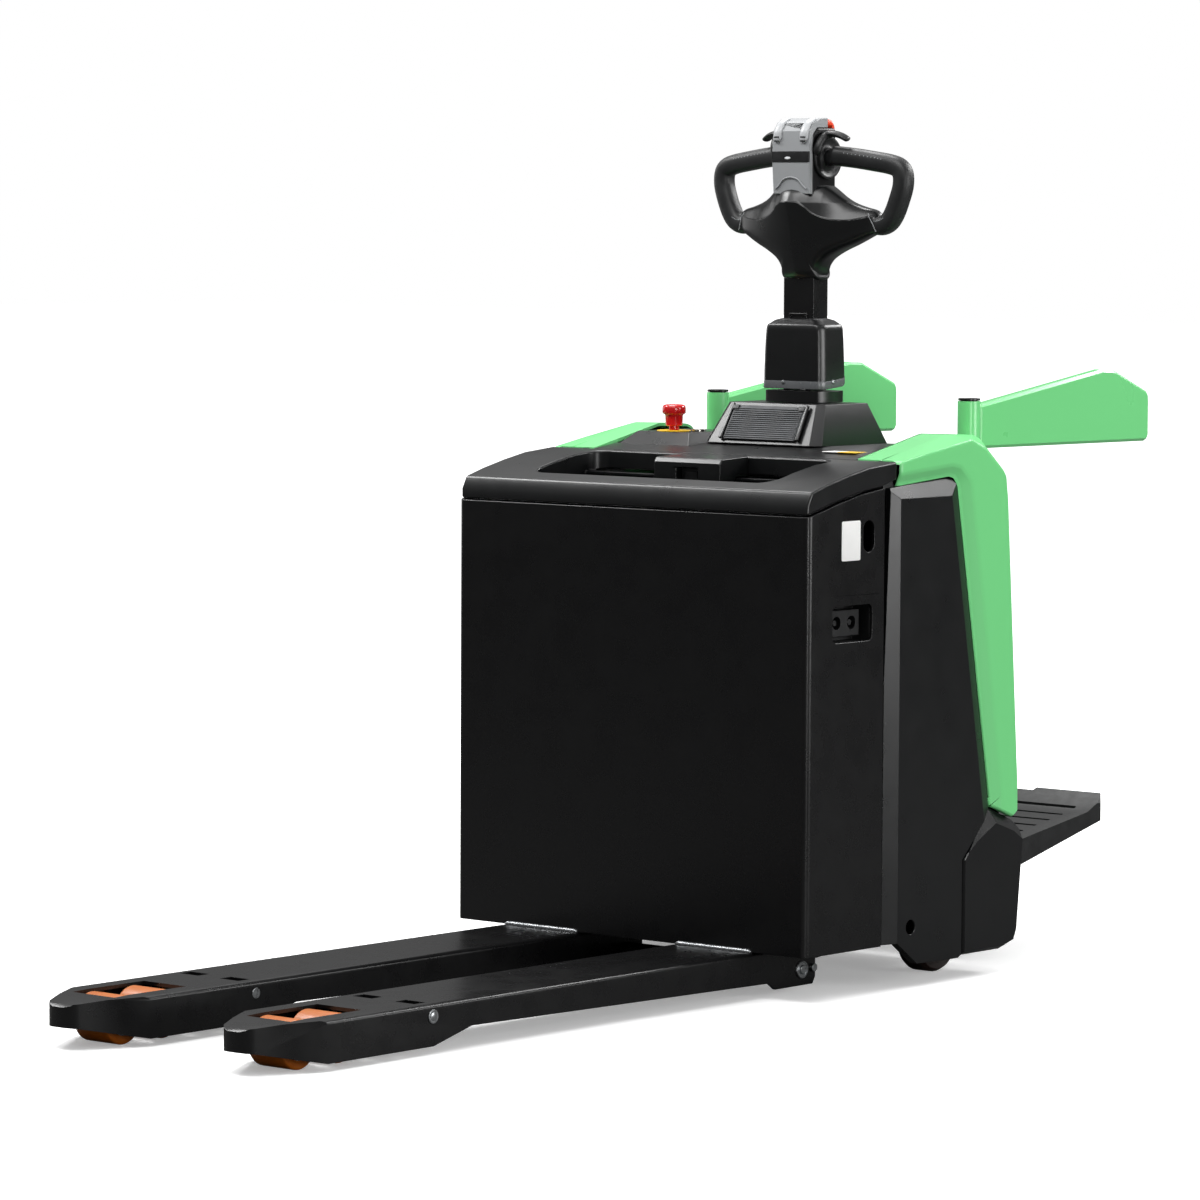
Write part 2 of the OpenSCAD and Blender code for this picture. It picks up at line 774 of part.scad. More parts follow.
// ---- casters -------------------------------------------------------------------------------

// A swivelling fork whose wheel trails behind the stem
module caster_fork() {
    top = base_plate_z - 16;
    color(steel) from_face() translate([0, caster_y, 0]) {
        z_rod(12, [top, base_plate_z + 14], [0, 0]);
        z_rod(38, [top, top + 8], [0, 0]);
        both_sides() side_slab(28, 33) polygon([[34, top], [-30, top], [-12, 100], [16, 46],
            [46, 46], [50, 80]]);
        x_rod(6, [-28, 28], [caster_trail, caster_d / 2]);
    }
}

module left_caster_fork() { translate([-caster_x, 0, 0]) caster_fork(); }
module right_caster_fork() { translate([caster_x, 0, 0]) caster_fork(); }

module caster_wheel() {
    r = caster_d / 2;
    w = 25;
    color(orange_tread) from_face() translate([0, caster_y + caster_trail, r]) rotate([0, 90, 0])
        rotate_extrude() polygon([[6 + running, -w], [16, -w], [24, -w + 6], [40, -w + 2],
            [r - 5, -w], [r, -w + 8], [r, w - 8], [r - 5, w], [40, w - 2], [24, w - 6], [16, w],
            [6 + running, w]]);
}

module left_caster_wheel() { translate([-caster_x, 0, 0]) caster_wheel(); }
module right_caster_wheel() { translate([caster_x, 0, 0]) caster_wheel(); }

// ---- platform and side arms ----------------------------------------------------------------

module arm_posts() {
    half = 18;
    color("#26272a") from_face() both_sides() {
        z_rod(post_r, [866, 983], post);
        z_rod(19, [983, 987], post);
        z_rod(22, [880, 896], post);
        block([post[0] - half, post[0] + half], [505, post[1]], [866, 896]);
        block([post[0] - half, post[0] + half], [505, 535], [846, 866]);
    }
}

module arm_outline(inset = 0) {
    end = rear_reach;
    offset(delta = -inset) polygon([[590, 976], [664, 983], [953, 1029], [992, 1027],
        [end - 5, 987], [end - 1, 980], [end, 970], [end, 908], [end - 4, 901],
        [end - 12, 898], [1012, 902], [889, 908], [769, 905], [656, 901], [590, 900]]);
}

module side_arm() {
    x = post[0] + 4;
    color(green) from_face() difference() {
        union() {
            hull() {
                side_slab(x - arm_t / 2 + 5, x + arm_t / 2 - 5) arm_outline();
                side_slab(x - arm_t / 2, x + arm_t / 2) arm_outline(5);
            }
            z_rod(20, [898, 982], post);
        }
        z_rod(post_r + running, [880, 1000], post);
    }
}

module right_arm() { side_arm(); }
module left_arm() { mirror([1, 0, 0]) side_arm(); }

// Wedge-shaped step with a grooved rubber top, a kicked-up rear lip with a finger notch, and two
// hinge barrels
module platform() {
    x = platform_half;
    barrel_x = 235;
    skirt = 6;
    lean = atan(39 / 245);
    color("#3a3c3e") from_face() difference() {
        union() {
            difference() {
                intersection() {
                    side_slab(-x, x) polygon([[650, 191.8], [945, 238.8], [985, 258], [998, 268],
                        [1003, 262], [1003, 238], [997, 227], [988, 221], [650, 139]]);
                    plan_slab(100, 300) polygon([[-x, 600], [-x, 985], [-x + 14, 1004],
                        [x - 14, 1004], [x, 985], [x, 600]]);
                    front_slab(600, 1010) polygon([[-x, 100], [-x, 252], [-x + 12, 270],
                        [-130, 270], [-122, 262], [122, 262], [130, 270], [x - 12, 270],
                        [x, 252], [x, 100]]);
                }
                for (i = [0:6]) translate([0, 716 + i * 40, 202.3 + i * 40 * tan(lean)])
                    rotate([lean, 0, 0]) plan_slab(-4, 26)
                        round_rect([-x + 34, -4], [x - 34, 4], 3.9);
                side_slab(-x + skirt, x - skirt) polygon([[658, 120], [658, 181.5], [940, 226.8],
                    [982, 246], [990, 252], [990, 227], [985, 200]]);
            }
            for (side = [-1, 1]) side_slab(barrel_x * side - 24, barrel_x * side + 24)
                polygon([[636, 152], [636, 178], [652, 190], [652, 141]]);
            for (side = [-1, 1]) x_rod(13, [barrel_x * side - 24, barrel_x * side + 24], hinge);
            both_sides() x_rod(8, [barrel_x - 35, barrel_x + 41], hinge);
        }
    }
}

// ---- tiller --------------------------------------------------------------------------------

// The tiller's footprint with its corners cut
module tiller_plan(shrink = 0) {
    offset(delta = -shrink) polygon([[-63, -28], [-58, -37], [-49, -40], [49, -40], [58, -37],
        [63, -28], [63, 25], [59, 32], [51, 35], [-51, 35], [-59, 32], [-63, 25]]);
}

module tiller_base() {
    color("#222325") from_face() translate([0, steer_y, 0]) {
        plan_slab(976, 996) tiller_plan();
        for (x = [-30, 18]) side_slab(x, x + 12) union() {
            translate([-22, 996]) square([44, tilt_z - 996]);
            translate([0, tilt_z]) circle(22);
        }
        x_rod(10, [-30, 30], [0, tilt_z]);
    }
}

// Cap over the tilt joint, open below and behind so that it clears the base as it tilts
module tiller_cover() {
    lug_x = 34;
    color(black_plastic) from_face() translate([0, steer_y, 0]) difference() {
        intersection() {
            hull() {
                plan_slab(998, 1092) tiller_plan();
                plan_slab(1123, 1124) scale([0.62, 0.95]) tiller_plan();
            }
            side_slab(-70, 70) polygon([[-60, 998], [-60, 1103], [-24, 1110], [36, 1124],
                [60, 1124], [60, 1020], [35, 1010], [26, 1004], [12, 999.5], [0, 998]]);
        }
        plan_slab(990, 1085) tiller_plan(4);
        plan_slab(1084, 1103) tiller_plan(10);
        block([-lug_x, lug_x], [20, 60], [990, 1074]);
        block([-lug_x, lug_x], [-22, 22], [1060, 1130]);
    }
}

module tiller_stem() {
    color(black_paint) from_face() translate([0, steer_y, 0]) difference() {
        union() {
            block([-33, 33], [-20, 20], [1088, 1192]);
            block([-17, 17], [-20, 20], [tilt_z, 1088]);
            x_rod(20, [-17, 17], [0, tilt_z]);
            difference() {
                block([-19, 19], [-22.5, -20], [1118, 1130]);
                block([-16, 16], [-24, -19], [1117, 1127]);
            }
        }
        x_rod(10 + running, [-18, 18], [0, tilt_z]);
    }
}

// Lower head: a neck that spreads into two wings which carry the handles
module head_shell() {
    wing_end = 150;
    color(black_plastic) from_face() translate([0, steer_y, 0]) difference() {
        union() {
            hull() {
                block([-38, 38], [-29, 24], [1188, 1206]);
                block([-56, 56], [-36, 26], [1236, 1242]);
            }
            hull() {
                block([-56, 56], [-36, 26], [1236, 1242]);
                both_sides() block([118, wing_end], [-6, 30], [1276, 1304]);
                block([-28, 28], [-55, 30], [1308, 1322]);
                block([-60, 60], [-36, 30], [1322, 1336]);
            }
            side_slab(-40, 40) polygon([[-34, 1330], [-34, 1439.5], [-22.2, 1451.7], [30, 1451.7],
                [30, 1330]]);
            x_rod(36, [-40, 40], throttle_at);
        }
        x_rod(9 + running, [-45, 45], throttle_at);
        block([-34, 34], [-21, 21], [1180, 1192]);
        block([-33, 33], [23.5, 45], [1418, 1453]);
    }
}

// Two tube handles, each from the head out to its corner and back into a wing
module handles() {
    r = grip_d / 2;
    x = handle_half - r;
    route = [[60, 4, 1402], [x - 18, 17, 1388], [x - 3, 17, 1376], [x, 17, 1358],
        [x - 24, 17, 1300], [x - 42, 18, 1284], [x - 58, 18, 1288]];
    color(black_plastic) from_face() translate([0, steer_y, 0]) both_sides() difference() {
        union() {
            for (i = [0:len(route) - 2]) rod_between(route[i], route[i + 1], r);
            for (i = [1:len(route) - 2]) translate(route[i]) sphere(r = r + 0.2);
        }
        block([0, 150.3], [-50, 50], [1260, 1330]);
        block([0, 61], [-50, 50], [1360, 1440]);
    }
}

// Grey control panel over the front and top of the head, with a pocket for each thumb button
module console() {
    color(grey_plastic) from_face() translate([0, steer_y, 0]) difference() {
        side_slab(-40.5, 40.5) polygon([[-42, 1337], [-46, 1390], [-46, 1412], [-43, 1446],
            [-32, 1461], [-12, 1468], [8, 1469], [8, 1452], [-22, 1452], [-34.3, 1439.7],
            [-34.3, 1337]]);
        both_sides() thumb_button(gap, 2.5);
    }
}

// A block on the console's sloping shoulder; it sinks by the travel when pressed
module thumb_button(grow, sink) {
    lean = atan(15 / 11);
    translate([30, -37.5, 1453.5]) rotate([lean, 0, 0])
        block([-7 - grow, 7 + grow], [-6 - grow, 6 + grow], [-3 - sink, 2 + sink]);
}

module right_rocker_button() {
    color("#c9cbcc") from_face() translate([0, steer_y, 0]) thumb_button(0, 0);
}

module left_rocker_button() { mirror([1, 0, 0]) right_rocker_button(); }

// Thumb throttle: two paddles on one shaft through the head
module throttle() {
    color("#1f2022") from_face() translate([0, steer_y, 0]) {
        x_rod(9, [-58, 58], throttle_at);
        both_sides() {
            x_rod(38, [42, 47], throttle_at);
            x_rod(14, [46, 60], throttle_at);
            hull() {
                block([42, 64], [-22, 12], [1430, 1444]);
                block([60, 92], [-12, 6], [1428, 1439]);
            }
        }
    }
}

// Soft orange button at the operator's end of the head, which reverses the truck when pressed
module belly_button() {
    color("#e2482a") from_face() translate([0, steer_y, 0]) {
        hull() {
            block([-32, 32], [30, 36], [1420, 1462]);
            block([-26, 26], [36, 50], [1430, 1458]);
        }
        block([-32, 32], [15, 36], [1452 + gap, 1468]);
    }
}

left_fork();
right_fork();
battery_box();
battery_pack();
charge_socket();
tray_lid();
tray_block();
lift_bracket();
arm_axles();
left_roller_arm();
right_roller_arm();
left_bogie();
right_bogie();
left_front_roller();
left_rear_roller();
right_front_roller();
right_rear_roller();
pull_rods();
lift_rocker();
rocker_lugs();
chassis_frame();
left_side_cover();
right_side_cover();
left_green_frame();
right_green_frame();
left_bumper();
right_bumper();
deck_cover();
pod_cover();
pod_grille();
rear_panel();
estop_base();
estop_knob();
key_switch();
lift_cylinder();
lift_ram();
power_units();
slew_bearing();
gearbox();
drive_motor();
steering_shaft();
drive_wheel();
left_caster_fork();
right_caster_fork();
left_caster_wheel();
right_caster_wheel();
arm_posts();
left_arm();
right_arm();
platform();
tiller_base();
tiller_cover();
tiller_stem();
head_shell();
handles();
console();
left_rocker_button();
right_rocker_button();
throttle();
belly_button();
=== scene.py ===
"""Looks of an electric rider pallet truck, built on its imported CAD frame.

Forks point along -Y and the operator stands at +Y. CAD shapes whose form is right are carried over
as refined copies with rounded edges; moulded, cast and welded forms are worked out here.
"""

import json
import math

import bmesh
import bpy
import numpy as np
from mathutils import Matrix, Vector
from mathutils.bvhtree import BVHTree

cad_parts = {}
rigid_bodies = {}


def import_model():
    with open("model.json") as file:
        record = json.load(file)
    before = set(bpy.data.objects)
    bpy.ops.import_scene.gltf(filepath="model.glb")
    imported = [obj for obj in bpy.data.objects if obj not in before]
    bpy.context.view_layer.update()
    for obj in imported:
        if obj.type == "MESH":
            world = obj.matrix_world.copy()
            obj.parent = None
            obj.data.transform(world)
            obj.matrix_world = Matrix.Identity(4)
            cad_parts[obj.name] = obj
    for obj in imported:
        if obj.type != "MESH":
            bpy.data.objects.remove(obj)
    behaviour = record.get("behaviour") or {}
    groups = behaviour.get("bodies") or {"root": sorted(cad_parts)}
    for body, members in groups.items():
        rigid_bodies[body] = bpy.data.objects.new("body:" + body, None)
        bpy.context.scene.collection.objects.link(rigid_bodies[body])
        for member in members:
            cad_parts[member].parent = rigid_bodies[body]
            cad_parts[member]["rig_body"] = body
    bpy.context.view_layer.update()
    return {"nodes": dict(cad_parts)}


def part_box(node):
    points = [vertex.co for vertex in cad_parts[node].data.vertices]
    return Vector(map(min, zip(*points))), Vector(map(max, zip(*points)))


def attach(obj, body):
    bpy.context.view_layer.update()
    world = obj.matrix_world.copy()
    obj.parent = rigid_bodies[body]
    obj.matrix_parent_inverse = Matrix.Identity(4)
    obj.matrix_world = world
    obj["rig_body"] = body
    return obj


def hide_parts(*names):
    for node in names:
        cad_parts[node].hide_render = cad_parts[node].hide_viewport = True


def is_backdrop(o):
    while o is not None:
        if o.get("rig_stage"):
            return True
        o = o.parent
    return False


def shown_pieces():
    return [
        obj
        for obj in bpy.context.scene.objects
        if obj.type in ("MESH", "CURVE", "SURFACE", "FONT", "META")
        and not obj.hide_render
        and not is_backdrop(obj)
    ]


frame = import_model()

bl_info = {
    "name": "Electric pallet truck",
    "version": (1, 0, 0),
    "blender": (4, 5, 0),
    "location": "3D View > Sidebar > Truck",
    "description": "Builds the looks of an electric rider pallet truck",
    "category": "Object",
}

MM = 0.001
FACE_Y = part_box("battery_box")[0].y
STEER_Y = (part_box("drive_wheel")[0].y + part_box("drive_wheel")[1].y) / 2
HALF_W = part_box("battery_box")[1].x
FORK_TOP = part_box("right_fork")[1].z
FORK_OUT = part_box("right_fork")[1].x
FORK_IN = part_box("right_fork")[0].x

# Image points, in the photograph's frame of 1200 by 1200. Most are where a thing shows in the
# photograph. Seven were moved to where the finished model falls in the image: truck_left,
# truck_right, truck_top, lid_front_right, emergency_stop, fork_pin and key
PHOTO = 1200
POINTS = {
    "truck_left": (49, 1003),
    "truck_right": (1148, 401),
    "truck_top": (813, 117),
    "truck_bottom": (296, 1072),
    "box_top_left": (457, 500),
    "box_bottom_right": (805, 960),
    "lid_front_right": (810, 501),
    "emergency_stop": (674, 409),
    "right_weld": (713, 948),
    "left_weld": (542, 928),
    "hook_plate": (851, 541),
    "cover_hole": (910, 926),
    "deck_plate": (846, 452),
    "console_lens": (788, 158),
    "front_screw": (783, 382),
    "side_screw": (833, 382),
    "fork_pin": (434, 1017),
    "key": (699, 438),
}


# ---- sizes and colours ----------------------------------------------------------------------


def length_property(label, text, millimetres):
    """A length property whose default is given in millimetres."""
    return bpy.props.FloatProperty(
        name=label, description=text, default=millimetres * MM, min=0.0, unit="LENGTH")


class TruckSizes(bpy.types.PropertyGroup):
    """Sizes of what is added to the CAD shapes"""

    sheet_edge: length_property("Sheet edge", "Rounding of cut and folded steel plate", 1.8)
    moulded_edge: length_property("Moulded edge", "Rounding of moulded plastic covers", 3.0)
    body_edge: length_property("Body edge", "Rounding of the large green frames", 5.0)
    weld: length_property("Weld bead", "Radius of the weld beads at the fork heels", 4.5)
    grip: length_property("Grip radius", "Radius of the tiller's handles", 18.0)
    plate: length_property("Plate thickness", "Thickness of the blank enamel plates", 0.8)


def colour_property(label, text, value):
    """A colour property whose default is a sRGB hex value."""
    return bpy.props.FloatVectorProperty(
        name=label, description=text, subtype="COLOR", size=3, min=0.0, max=1.0,
        default=linear(value)[:3])


def linear(value):
    """The linear RGBA colour of a sRGB hex value: c/12.92 when dark, else ((c+0.055)/1.055)^2.4."""
    c = np.array([int(value[i:i + 2], 16) for i in (1, 3, 5)]) / 255
    c = np.where(c <= 0.04045, c / 12.92, ((c + 0.055) / 1.055) ** 2.4)
    return (*c.tolist(), 1.0)


class TruckColours(bpy.types.PropertyGroup):
    """The truck's main colours"""

    green: colour_property("Green", "Gloss enamel of the frames and side arms", "#74d485")
    black: colour_property("Black paint", "Powder coat of the box, forks and stem", "#09090a")
    plastic: colour_property("Black plastic", "Moulded covers, lid and tiller head", "#0c0d0e")
    grey: colour_property("Grey plastic", "Console on the tiller head", "#97999b")
    tread: colour_property("Roller tread", "Cast polyurethane of the load rollers", "#b45f12")


def stage_property(label, text, value, **kind):
    """A number of the stage with its default."""
    return bpy.props.FloatProperty(name=label, description=text, default=value, **kind)


class StageSettings(bpy.types.PropertyGroup):
    """Camera and light"""

    camera_x: stage_property("Camera x", "Camera's place across the truck", 6.094, unit="LENGTH")
    camera_y: stage_property(
        "Camera y", "Camera's place along the truck, from the box's front face", -7.229,
        unit="LENGTH")
    camera_z: stage_property(
        "Camera height", "Camera's height above the floor", 1.346, unit="LENGTH")
    yaw: stage_property(
        "Yaw", "Turn of the camera from looking along +Y", math.radians(40.42), subtype="ANGLE")
    pitch: stage_property(
        "Pitch", "Camera's tilt above the horizon", math.radians(-4.19), subtype="ANGLE")
    roll: stage_property(
        "Roll", "Camera's turn about its own axis", math.radians(0.29), subtype="ANGLE")
    lens: stage_property(
        "Lens", "Focal length in millimetres on a 36 mm sensor", 168.78, min=1.0)
    overhead: stage_property("Overhead light", "Strength of the white ceiling", 0.6, min=0.0)
    softbox: stage_property(
        "Softboxes", "Power that the softboxes take their shares of, in watts", 260.0, min=0.0)
    world: stage_property(
        "Surroundings", "Strength of the light from the horizon", 0.15, min=0.0)


def sizes():
    return bpy.context.scene.truck_sizes


def colours():
    return bpy.context.scene.truck_colours


# ---- node and material helpers --------------------------------------------------------------


def add_node(tree, kind, inputs=None, **settings):
    """Adds one node with its settings; inputs maps a socket to a value or to another's output."""
    node = tree.nodes.new(kind)
    for name, value in settings.items():
        setattr(node, name, value)
    for name, value in (inputs or {}).items():
        if isinstance(value, bpy.types.NodeSocket):
            tree.links.new(value, node.inputs[name])
        else:
            node.inputs[name].default_value = value
    return node


def shade(colour, factor):
    """The colour made lighter or darker by a factor, as RGBA."""
    return (*[min(1.0, c * factor) for c in tuple(colour)[:3]], 1.0)


def finish(name, colour, spread=0.15, patch=90, grain=1.5, relief=0.02, roughness=(0.4, 0.5),
           stretch=(1, 1, 1), **shader):
    """A finish with soft colour patches, uneven gloss and a fine relief.

    Noise of patch mm mixes two tones that lie spread apart, noise of a third of that moves the
    roughness between its two values, and noise of grain mm, relief mm deep, makes the bump.
    stretch squeezes the grain along an axis, for turned or brushed metal.
    """
    known = bpy.data.materials.get(name)
    if known is not None:
        return known
    material = bpy.data.materials.new(name)
    material.use_nodes = True
    tree = material.node_tree
    tree.nodes.clear()
    place = add_node(tree, "ShaderNodeTexCoord").outputs["Object"]
    patches = add_node(tree, "ShaderNodeTexNoise", {
        "Vector": place, "Scale": 1000 / patch, "Detail": 4.0, "Roughness": 0.6})
    tone = add_node(tree, "ShaderNodeMix", {
        "Factor": patches.outputs["Fac"], "A": shade(colour, 1 - spread),
        "B": shade(colour, 1 + spread)}, data_type="RGBA")
    sheen = add_node(tree, "ShaderNodeTexNoise", {
        "Vector": place, "Scale": 3000 / patch, "Detail": 5.0})
    gloss = add_node(tree, "ShaderNodeMapRange", {
        "Value": sheen.outputs["Fac"], "From Min": 0.3, "From Max": 0.7,
        "To Min": roughness[0], "To Max": roughness[1]})
    squeezed = add_node(tree, "ShaderNodeMapping", {"Vector": place, "Scale": stretch})
    grains = add_node(tree, "ShaderNodeTexNoise", {
        "Vector": squeezed.outputs["Vector"], "Scale": 1000 / grain, "Detail": 2.0})
    bump = add_node(tree, "ShaderNodeBump", {
        "Height": grains.outputs["Fac"], "Distance": relief * MM, "Strength": 1.0})
    bsdf = add_node(tree, "ShaderNodeBsdfPrincipled", {
        "Base Color": tone.outputs["Result"], "Roughness": gloss.outputs["Result"],
        "Normal": bump.outputs["Normal"], **shader})
    add_node(tree, "ShaderNodeOutputMaterial", {"Surface": bsdf.outputs["BSDF"]})
    return material


def powder_coat():
    # Black powder coat on steel plate: satin, with a fine orange peel
    return finish("black_powder_coated_steel", colours().black, 0.12, 140, 2.2, 0.035,
                  (0.25, 0.31), **{"Specular IOR Level": 0.45})


def black_moulding():
    # Black ABS moulded in a spark-eroded tool: an even fine grain, satin
    return finish("black_grained_abs", colours().plastic, 0.12, 160, 1.6, 0.02, (0.27, 0.32),
                  **{"Specular IOR Level": 0.5})


def green_enamel():
    # Light green stoving enamel on steel and GRP: smooth and glossy, hardly any peel
    return finish("light_green_gloss_enamel", colours().green, 0.02, 420, 6.0, 0.01,
                  (0.27, 0.30), **{"Coat Weight": 0.3, "Coat Roughness": 0.2})


def grey_moulding():
    # Mid grey PC/ABS of the console: satin, fine grain
    return finish("grey_satin_pc_abs", colours().grey, 0.06, 60, 1.2, 0.03, (0.4, 0.5))


def button_moulding():
    # Light grey PC/ABS of the thumb buttons: smoother than the console
    return finish("light_grey_pc_abs", linear("#b4b6b8"), 0.05, 40, 1.2, 0.02, (0.32, 0.42))


def collar_moulding():
    # Grey ABS strip round the cap's foot: satin, polished by trouser legs
    return finish("grey_polished_abs", linear("#5d5f61"), 0.15, 30, 1.2, 0.02, (0.2, 0.3))


def grille_moulding():
    # Dark grey ABS of the ribbed panel: matter than the pod round it
    return finish("dark_grey_matt_abs", linear("#3f4144"), 0.1, 50, 1.2, 0.03, (0.48, 0.6))


def dark_moulding():
    # Black glass-filled nylon of paddles and sockets: dull with a trace of flow marks
    return finish("black_glass_filled_nylon", linear("#0f1011"), 0.2, 30, 1.0, 0.03, (0.38, 0.5))


def soft_grip():
    # Black soft-touch rubber moulded over the handles: a fine leather-like stipple
    return finish("black_soft_touch_rubber", linear("#131415"), 0.12, 40, 1.3, 0.07,
                  (0.42, 0.52), **{"Sheen Weight": 0.05})


def zinc_plate():
    # Zinc-plated steel: bright, faintly blotched
    return finish("zinc_plated_steel", linear("#a6a9ab"), 0.12, 25, 1.5, 0.02, (0.25, 0.4),
                  Metallic=1.0)


def turned_steel():
    # Bright turned steel: fine rings squeezed along the turning axis
    return finish("turned_bright_steel", linear("#b3b5b6"), 0.08, 30, 3.0, 0.015, (0.2, 0.32),
                  (12, 1, 1), Metallic=1.0)


def ram_chrome():
    # Hard chrome on the ram: near mirror
    return finish("hard_chrome", linear("#cfd2d4"), 0.03, 60, 4.0, 0.003, (0.06, 0.1),
                  Metallic=1.0)


def roller_tread():
    # Cast polyurethane tread: amber brown, waxy, slightly see-through at its skin
    return finish("amber_cast_polyurethane", colours().tread, 0.18, 35, 5.0, 0.05, (0.34, 0.46),
                  **{"Subsurface Weight": 0.08, "Subsurface Scale": 3 * MM})


def drive_tread():
    # Drive tread: polyurethane, scuffed matt by the floor, its colour darkened as painted shade
    # so the wheel reads as the shadow under the truck
    return finish("shade_darkened_drive_polyurethane", linear("#2b211a"), 0.3, 30, 2.0, 0.08, (0.5, 0.7))


def caster_tread():
    # Caster wheels: brown polyurethane, dusty, its colour darkened almost to black as painted
    # shade so the wheels sink into the shadow under the side covers
    return finish("shade_darkened_caster_polyurethane", linear("#1c100b"), 0.2, 25, 2.0, 0.05, (0.4, 0.55))


def cast_iron():
    # Sand-cast iron with a clear coat: coarse skin of sand grains
    return finish("sand_cast_iron", linear("#6d7174"), 0.18, 30, 2.5, 0.15, (0.4, 0.6),
                  Metallic=0.7)


def cast_alloy():
    # Die-cast aluminium: pale, fine skin
    return finish("die_cast_aluminium", linear("#8d9194"), 0.12, 30, 1.8, 0.06, (0.35, 0.5),
                  Metallic=0.9)


def pack_case():
    # Painted steel case of the battery pack: blue-grey hammer finish, 6 mm dimples
    return finish("blue_grey_hammer_paint", linear("#39404a"), 0.15, 40, 6.0, 0.12, (0.35, 0.5))


def red_gloss():
    # Red ABS of the stop knob: glossy
    return finish("red_gloss_abs", linear("#c8171a"), 0.06, 20, 2.0, 0.01, (0.18, 0.28),
                  **{"Coat Weight": 0.3})


def yellow_ring():
    # Yellow plastic ring under the stop knob: satin
    return finish("yellow_satin_abs", linear("#e9bd10"), 0.08, 15, 1.2, 0.02, (0.35, 0.45))


def orange_rubber():
    # Orange-red elastomer of the safety button: soft satin skin
    return finish("orange_red_elastomer", linear("#e8451c"), 0.08, 20, 1.2, 0.03, (0.32, 0.45),
                  **{"Subsurface Weight": 0.1, "Subsurface Scale": 2 * MM})


def step_rubber():
    # Moulded black rubber of the step: pebbled, dusted grey by shoes
    return finish("pebbled_step_rubber", linear("#0f1011"), 0.2, 45, 2.4, 0.12, (0.42, 0.55))


def nickel():
    # Nickel-plated brass of the key switch
    return finish("nickel_plated_brass", linear("#c4c2bb"), 0.05, 10, 1.0, 0.01, (0.18, 0.28),
                  Metallic=1.0)


def white_enamel():
    # White enamel on the blank plates: smooth, a little chalky
    return finish("white_plate_enamel", linear("#f1f1ef"), 0.03, 15, 1.5, 0.01, (0.3, 0.42))


def clear_lens():
    # White diffusing lens of the display light
    return finish("white_polycarbonate_lens", linear("#e4e6e8"), 0.03, 8, 1.0, 0.01, (0.12, 0.2),
                  **{"Coat Weight": 0.5})


def stitch_thread():
    # Pale moulded dots along the grip seams
    return finish("pale_grip_dots", linear("#8f9294"), 0.1, 5, 0.8, 0.02, (0.5, 0.6))


def weld_metal():
    # Brushed weld bead left bright where it meets the box, with a trace of heat tint
    return finish("bare_weld_steel", linear("#8b8d8f"), 0.35, 9, 2.0, 0.12, (0.2, 0.34),
                  Metallic=0.9)


# ---- mesh helpers ---------------------------------------------------------------------------


def at(x, y, z):
    """A point in the frame from millimetres, with y counted from the battery box's front face."""
    return np.array([x * MM, y * MM + FACE_Y, z * MM])


def on_tiller(rows):
    """One point or many, in millimetres, whose y is counted from the steering axis."""
    return np.asarray(rows, float) * MM + np.array([0.0, STEER_Y, 0.0])


def grid_quads(rows, columns, ring_rows, ring_columns, first=0):
    """Corner numbers of the quads between neighbours of a rows by columns grid."""
    i = np.arange(rows if ring_rows else rows - 1)
    j = np.arange(columns if ring_columns else columns - 1)
    a, b = (g.ravel() for g in np.meshgrid(i, j, indexing="ij"))
    c, d = (a + 1) % rows, (b + 1) % columns
    quads = np.stack([a * columns + b, a * columns + d, c * columns + d, c * columns + b], -1)
    return (quads + first).tolist()


def make_piece(name, surfaces, material, body, smooth=50):
    """One object from several grids of points, each (rows, columns, 3).

    Every grid is a closed form: each row is a ring, and the first and last rows are closed by a
    face. A grid given as (grid, True) is a ring along its rows too and needs no end faces.
    """
    vertices, faces, first = [], [], 0
    for surface in surfaces:
        grid, ring = surface if isinstance(surface, tuple) else (surface, False)
        rows, columns = grid.shape[:2]
        vertices.append(grid.reshape(-1, 3))
        faces += grid_quads(rows, columns, ring, True, first)
        if not ring:
            faces.append(list(range(first, first + columns)))
            faces.append(list(range(first + (rows - 1) * columns, first + rows * columns)))
        first += rows * columns
    mesh = bpy.data.meshes.new(name)
    mesh.from_pydata(np.concatenate(vertices).tolist(), [], faces)
    shape = bmesh.new()
    shape.from_mesh(mesh)
    bmesh.ops.remove_doubles(shape, verts=shape.verts, dist=0.00001)
    bmesh.ops.recalc_face_normals(shape, faces=shape.faces)
    shape.to_mesh(mesh)
    shape.free()
    return place_piece(name, mesh, material, body, smooth)


def place_piece(name, mesh, material, body, smooth=50):
    """Links a mesh as a piece that rides on a body, shaded smooth up to an edge angle."""
    piece = bpy.data.objects.new(name, mesh)
    bpy.context.scene.collection.objects.link(piece)
    mesh.materials.clear()
    mesh.materials.append(material)
    mesh.polygons.foreach_set("use_smooth", np.ones(len(mesh.polygons), bool))
    mesh.set_sharp_from_angle(angle=math.radians(smooth))
    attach(piece, body)
    return piece


def rounded(piece, width, segments=3, angle=32, clamp=True):
    """Rounds a piece's edges that turn by more than the angle, as a moulding or a folded sheet."""
    bevel = piece.modifiers.new("Rounded edges", "BEVEL")
    bevel.width = width
    bevel.segments = segments
    bevel.limit_method = "ANGLE"
    bevel.angle_limit = math.radians(angle)
    bevel.use_clamp_overlap = clamp
    bevel.harden_normals = True
    bevel.miter_outer = "MITER_ARC"
    return piece


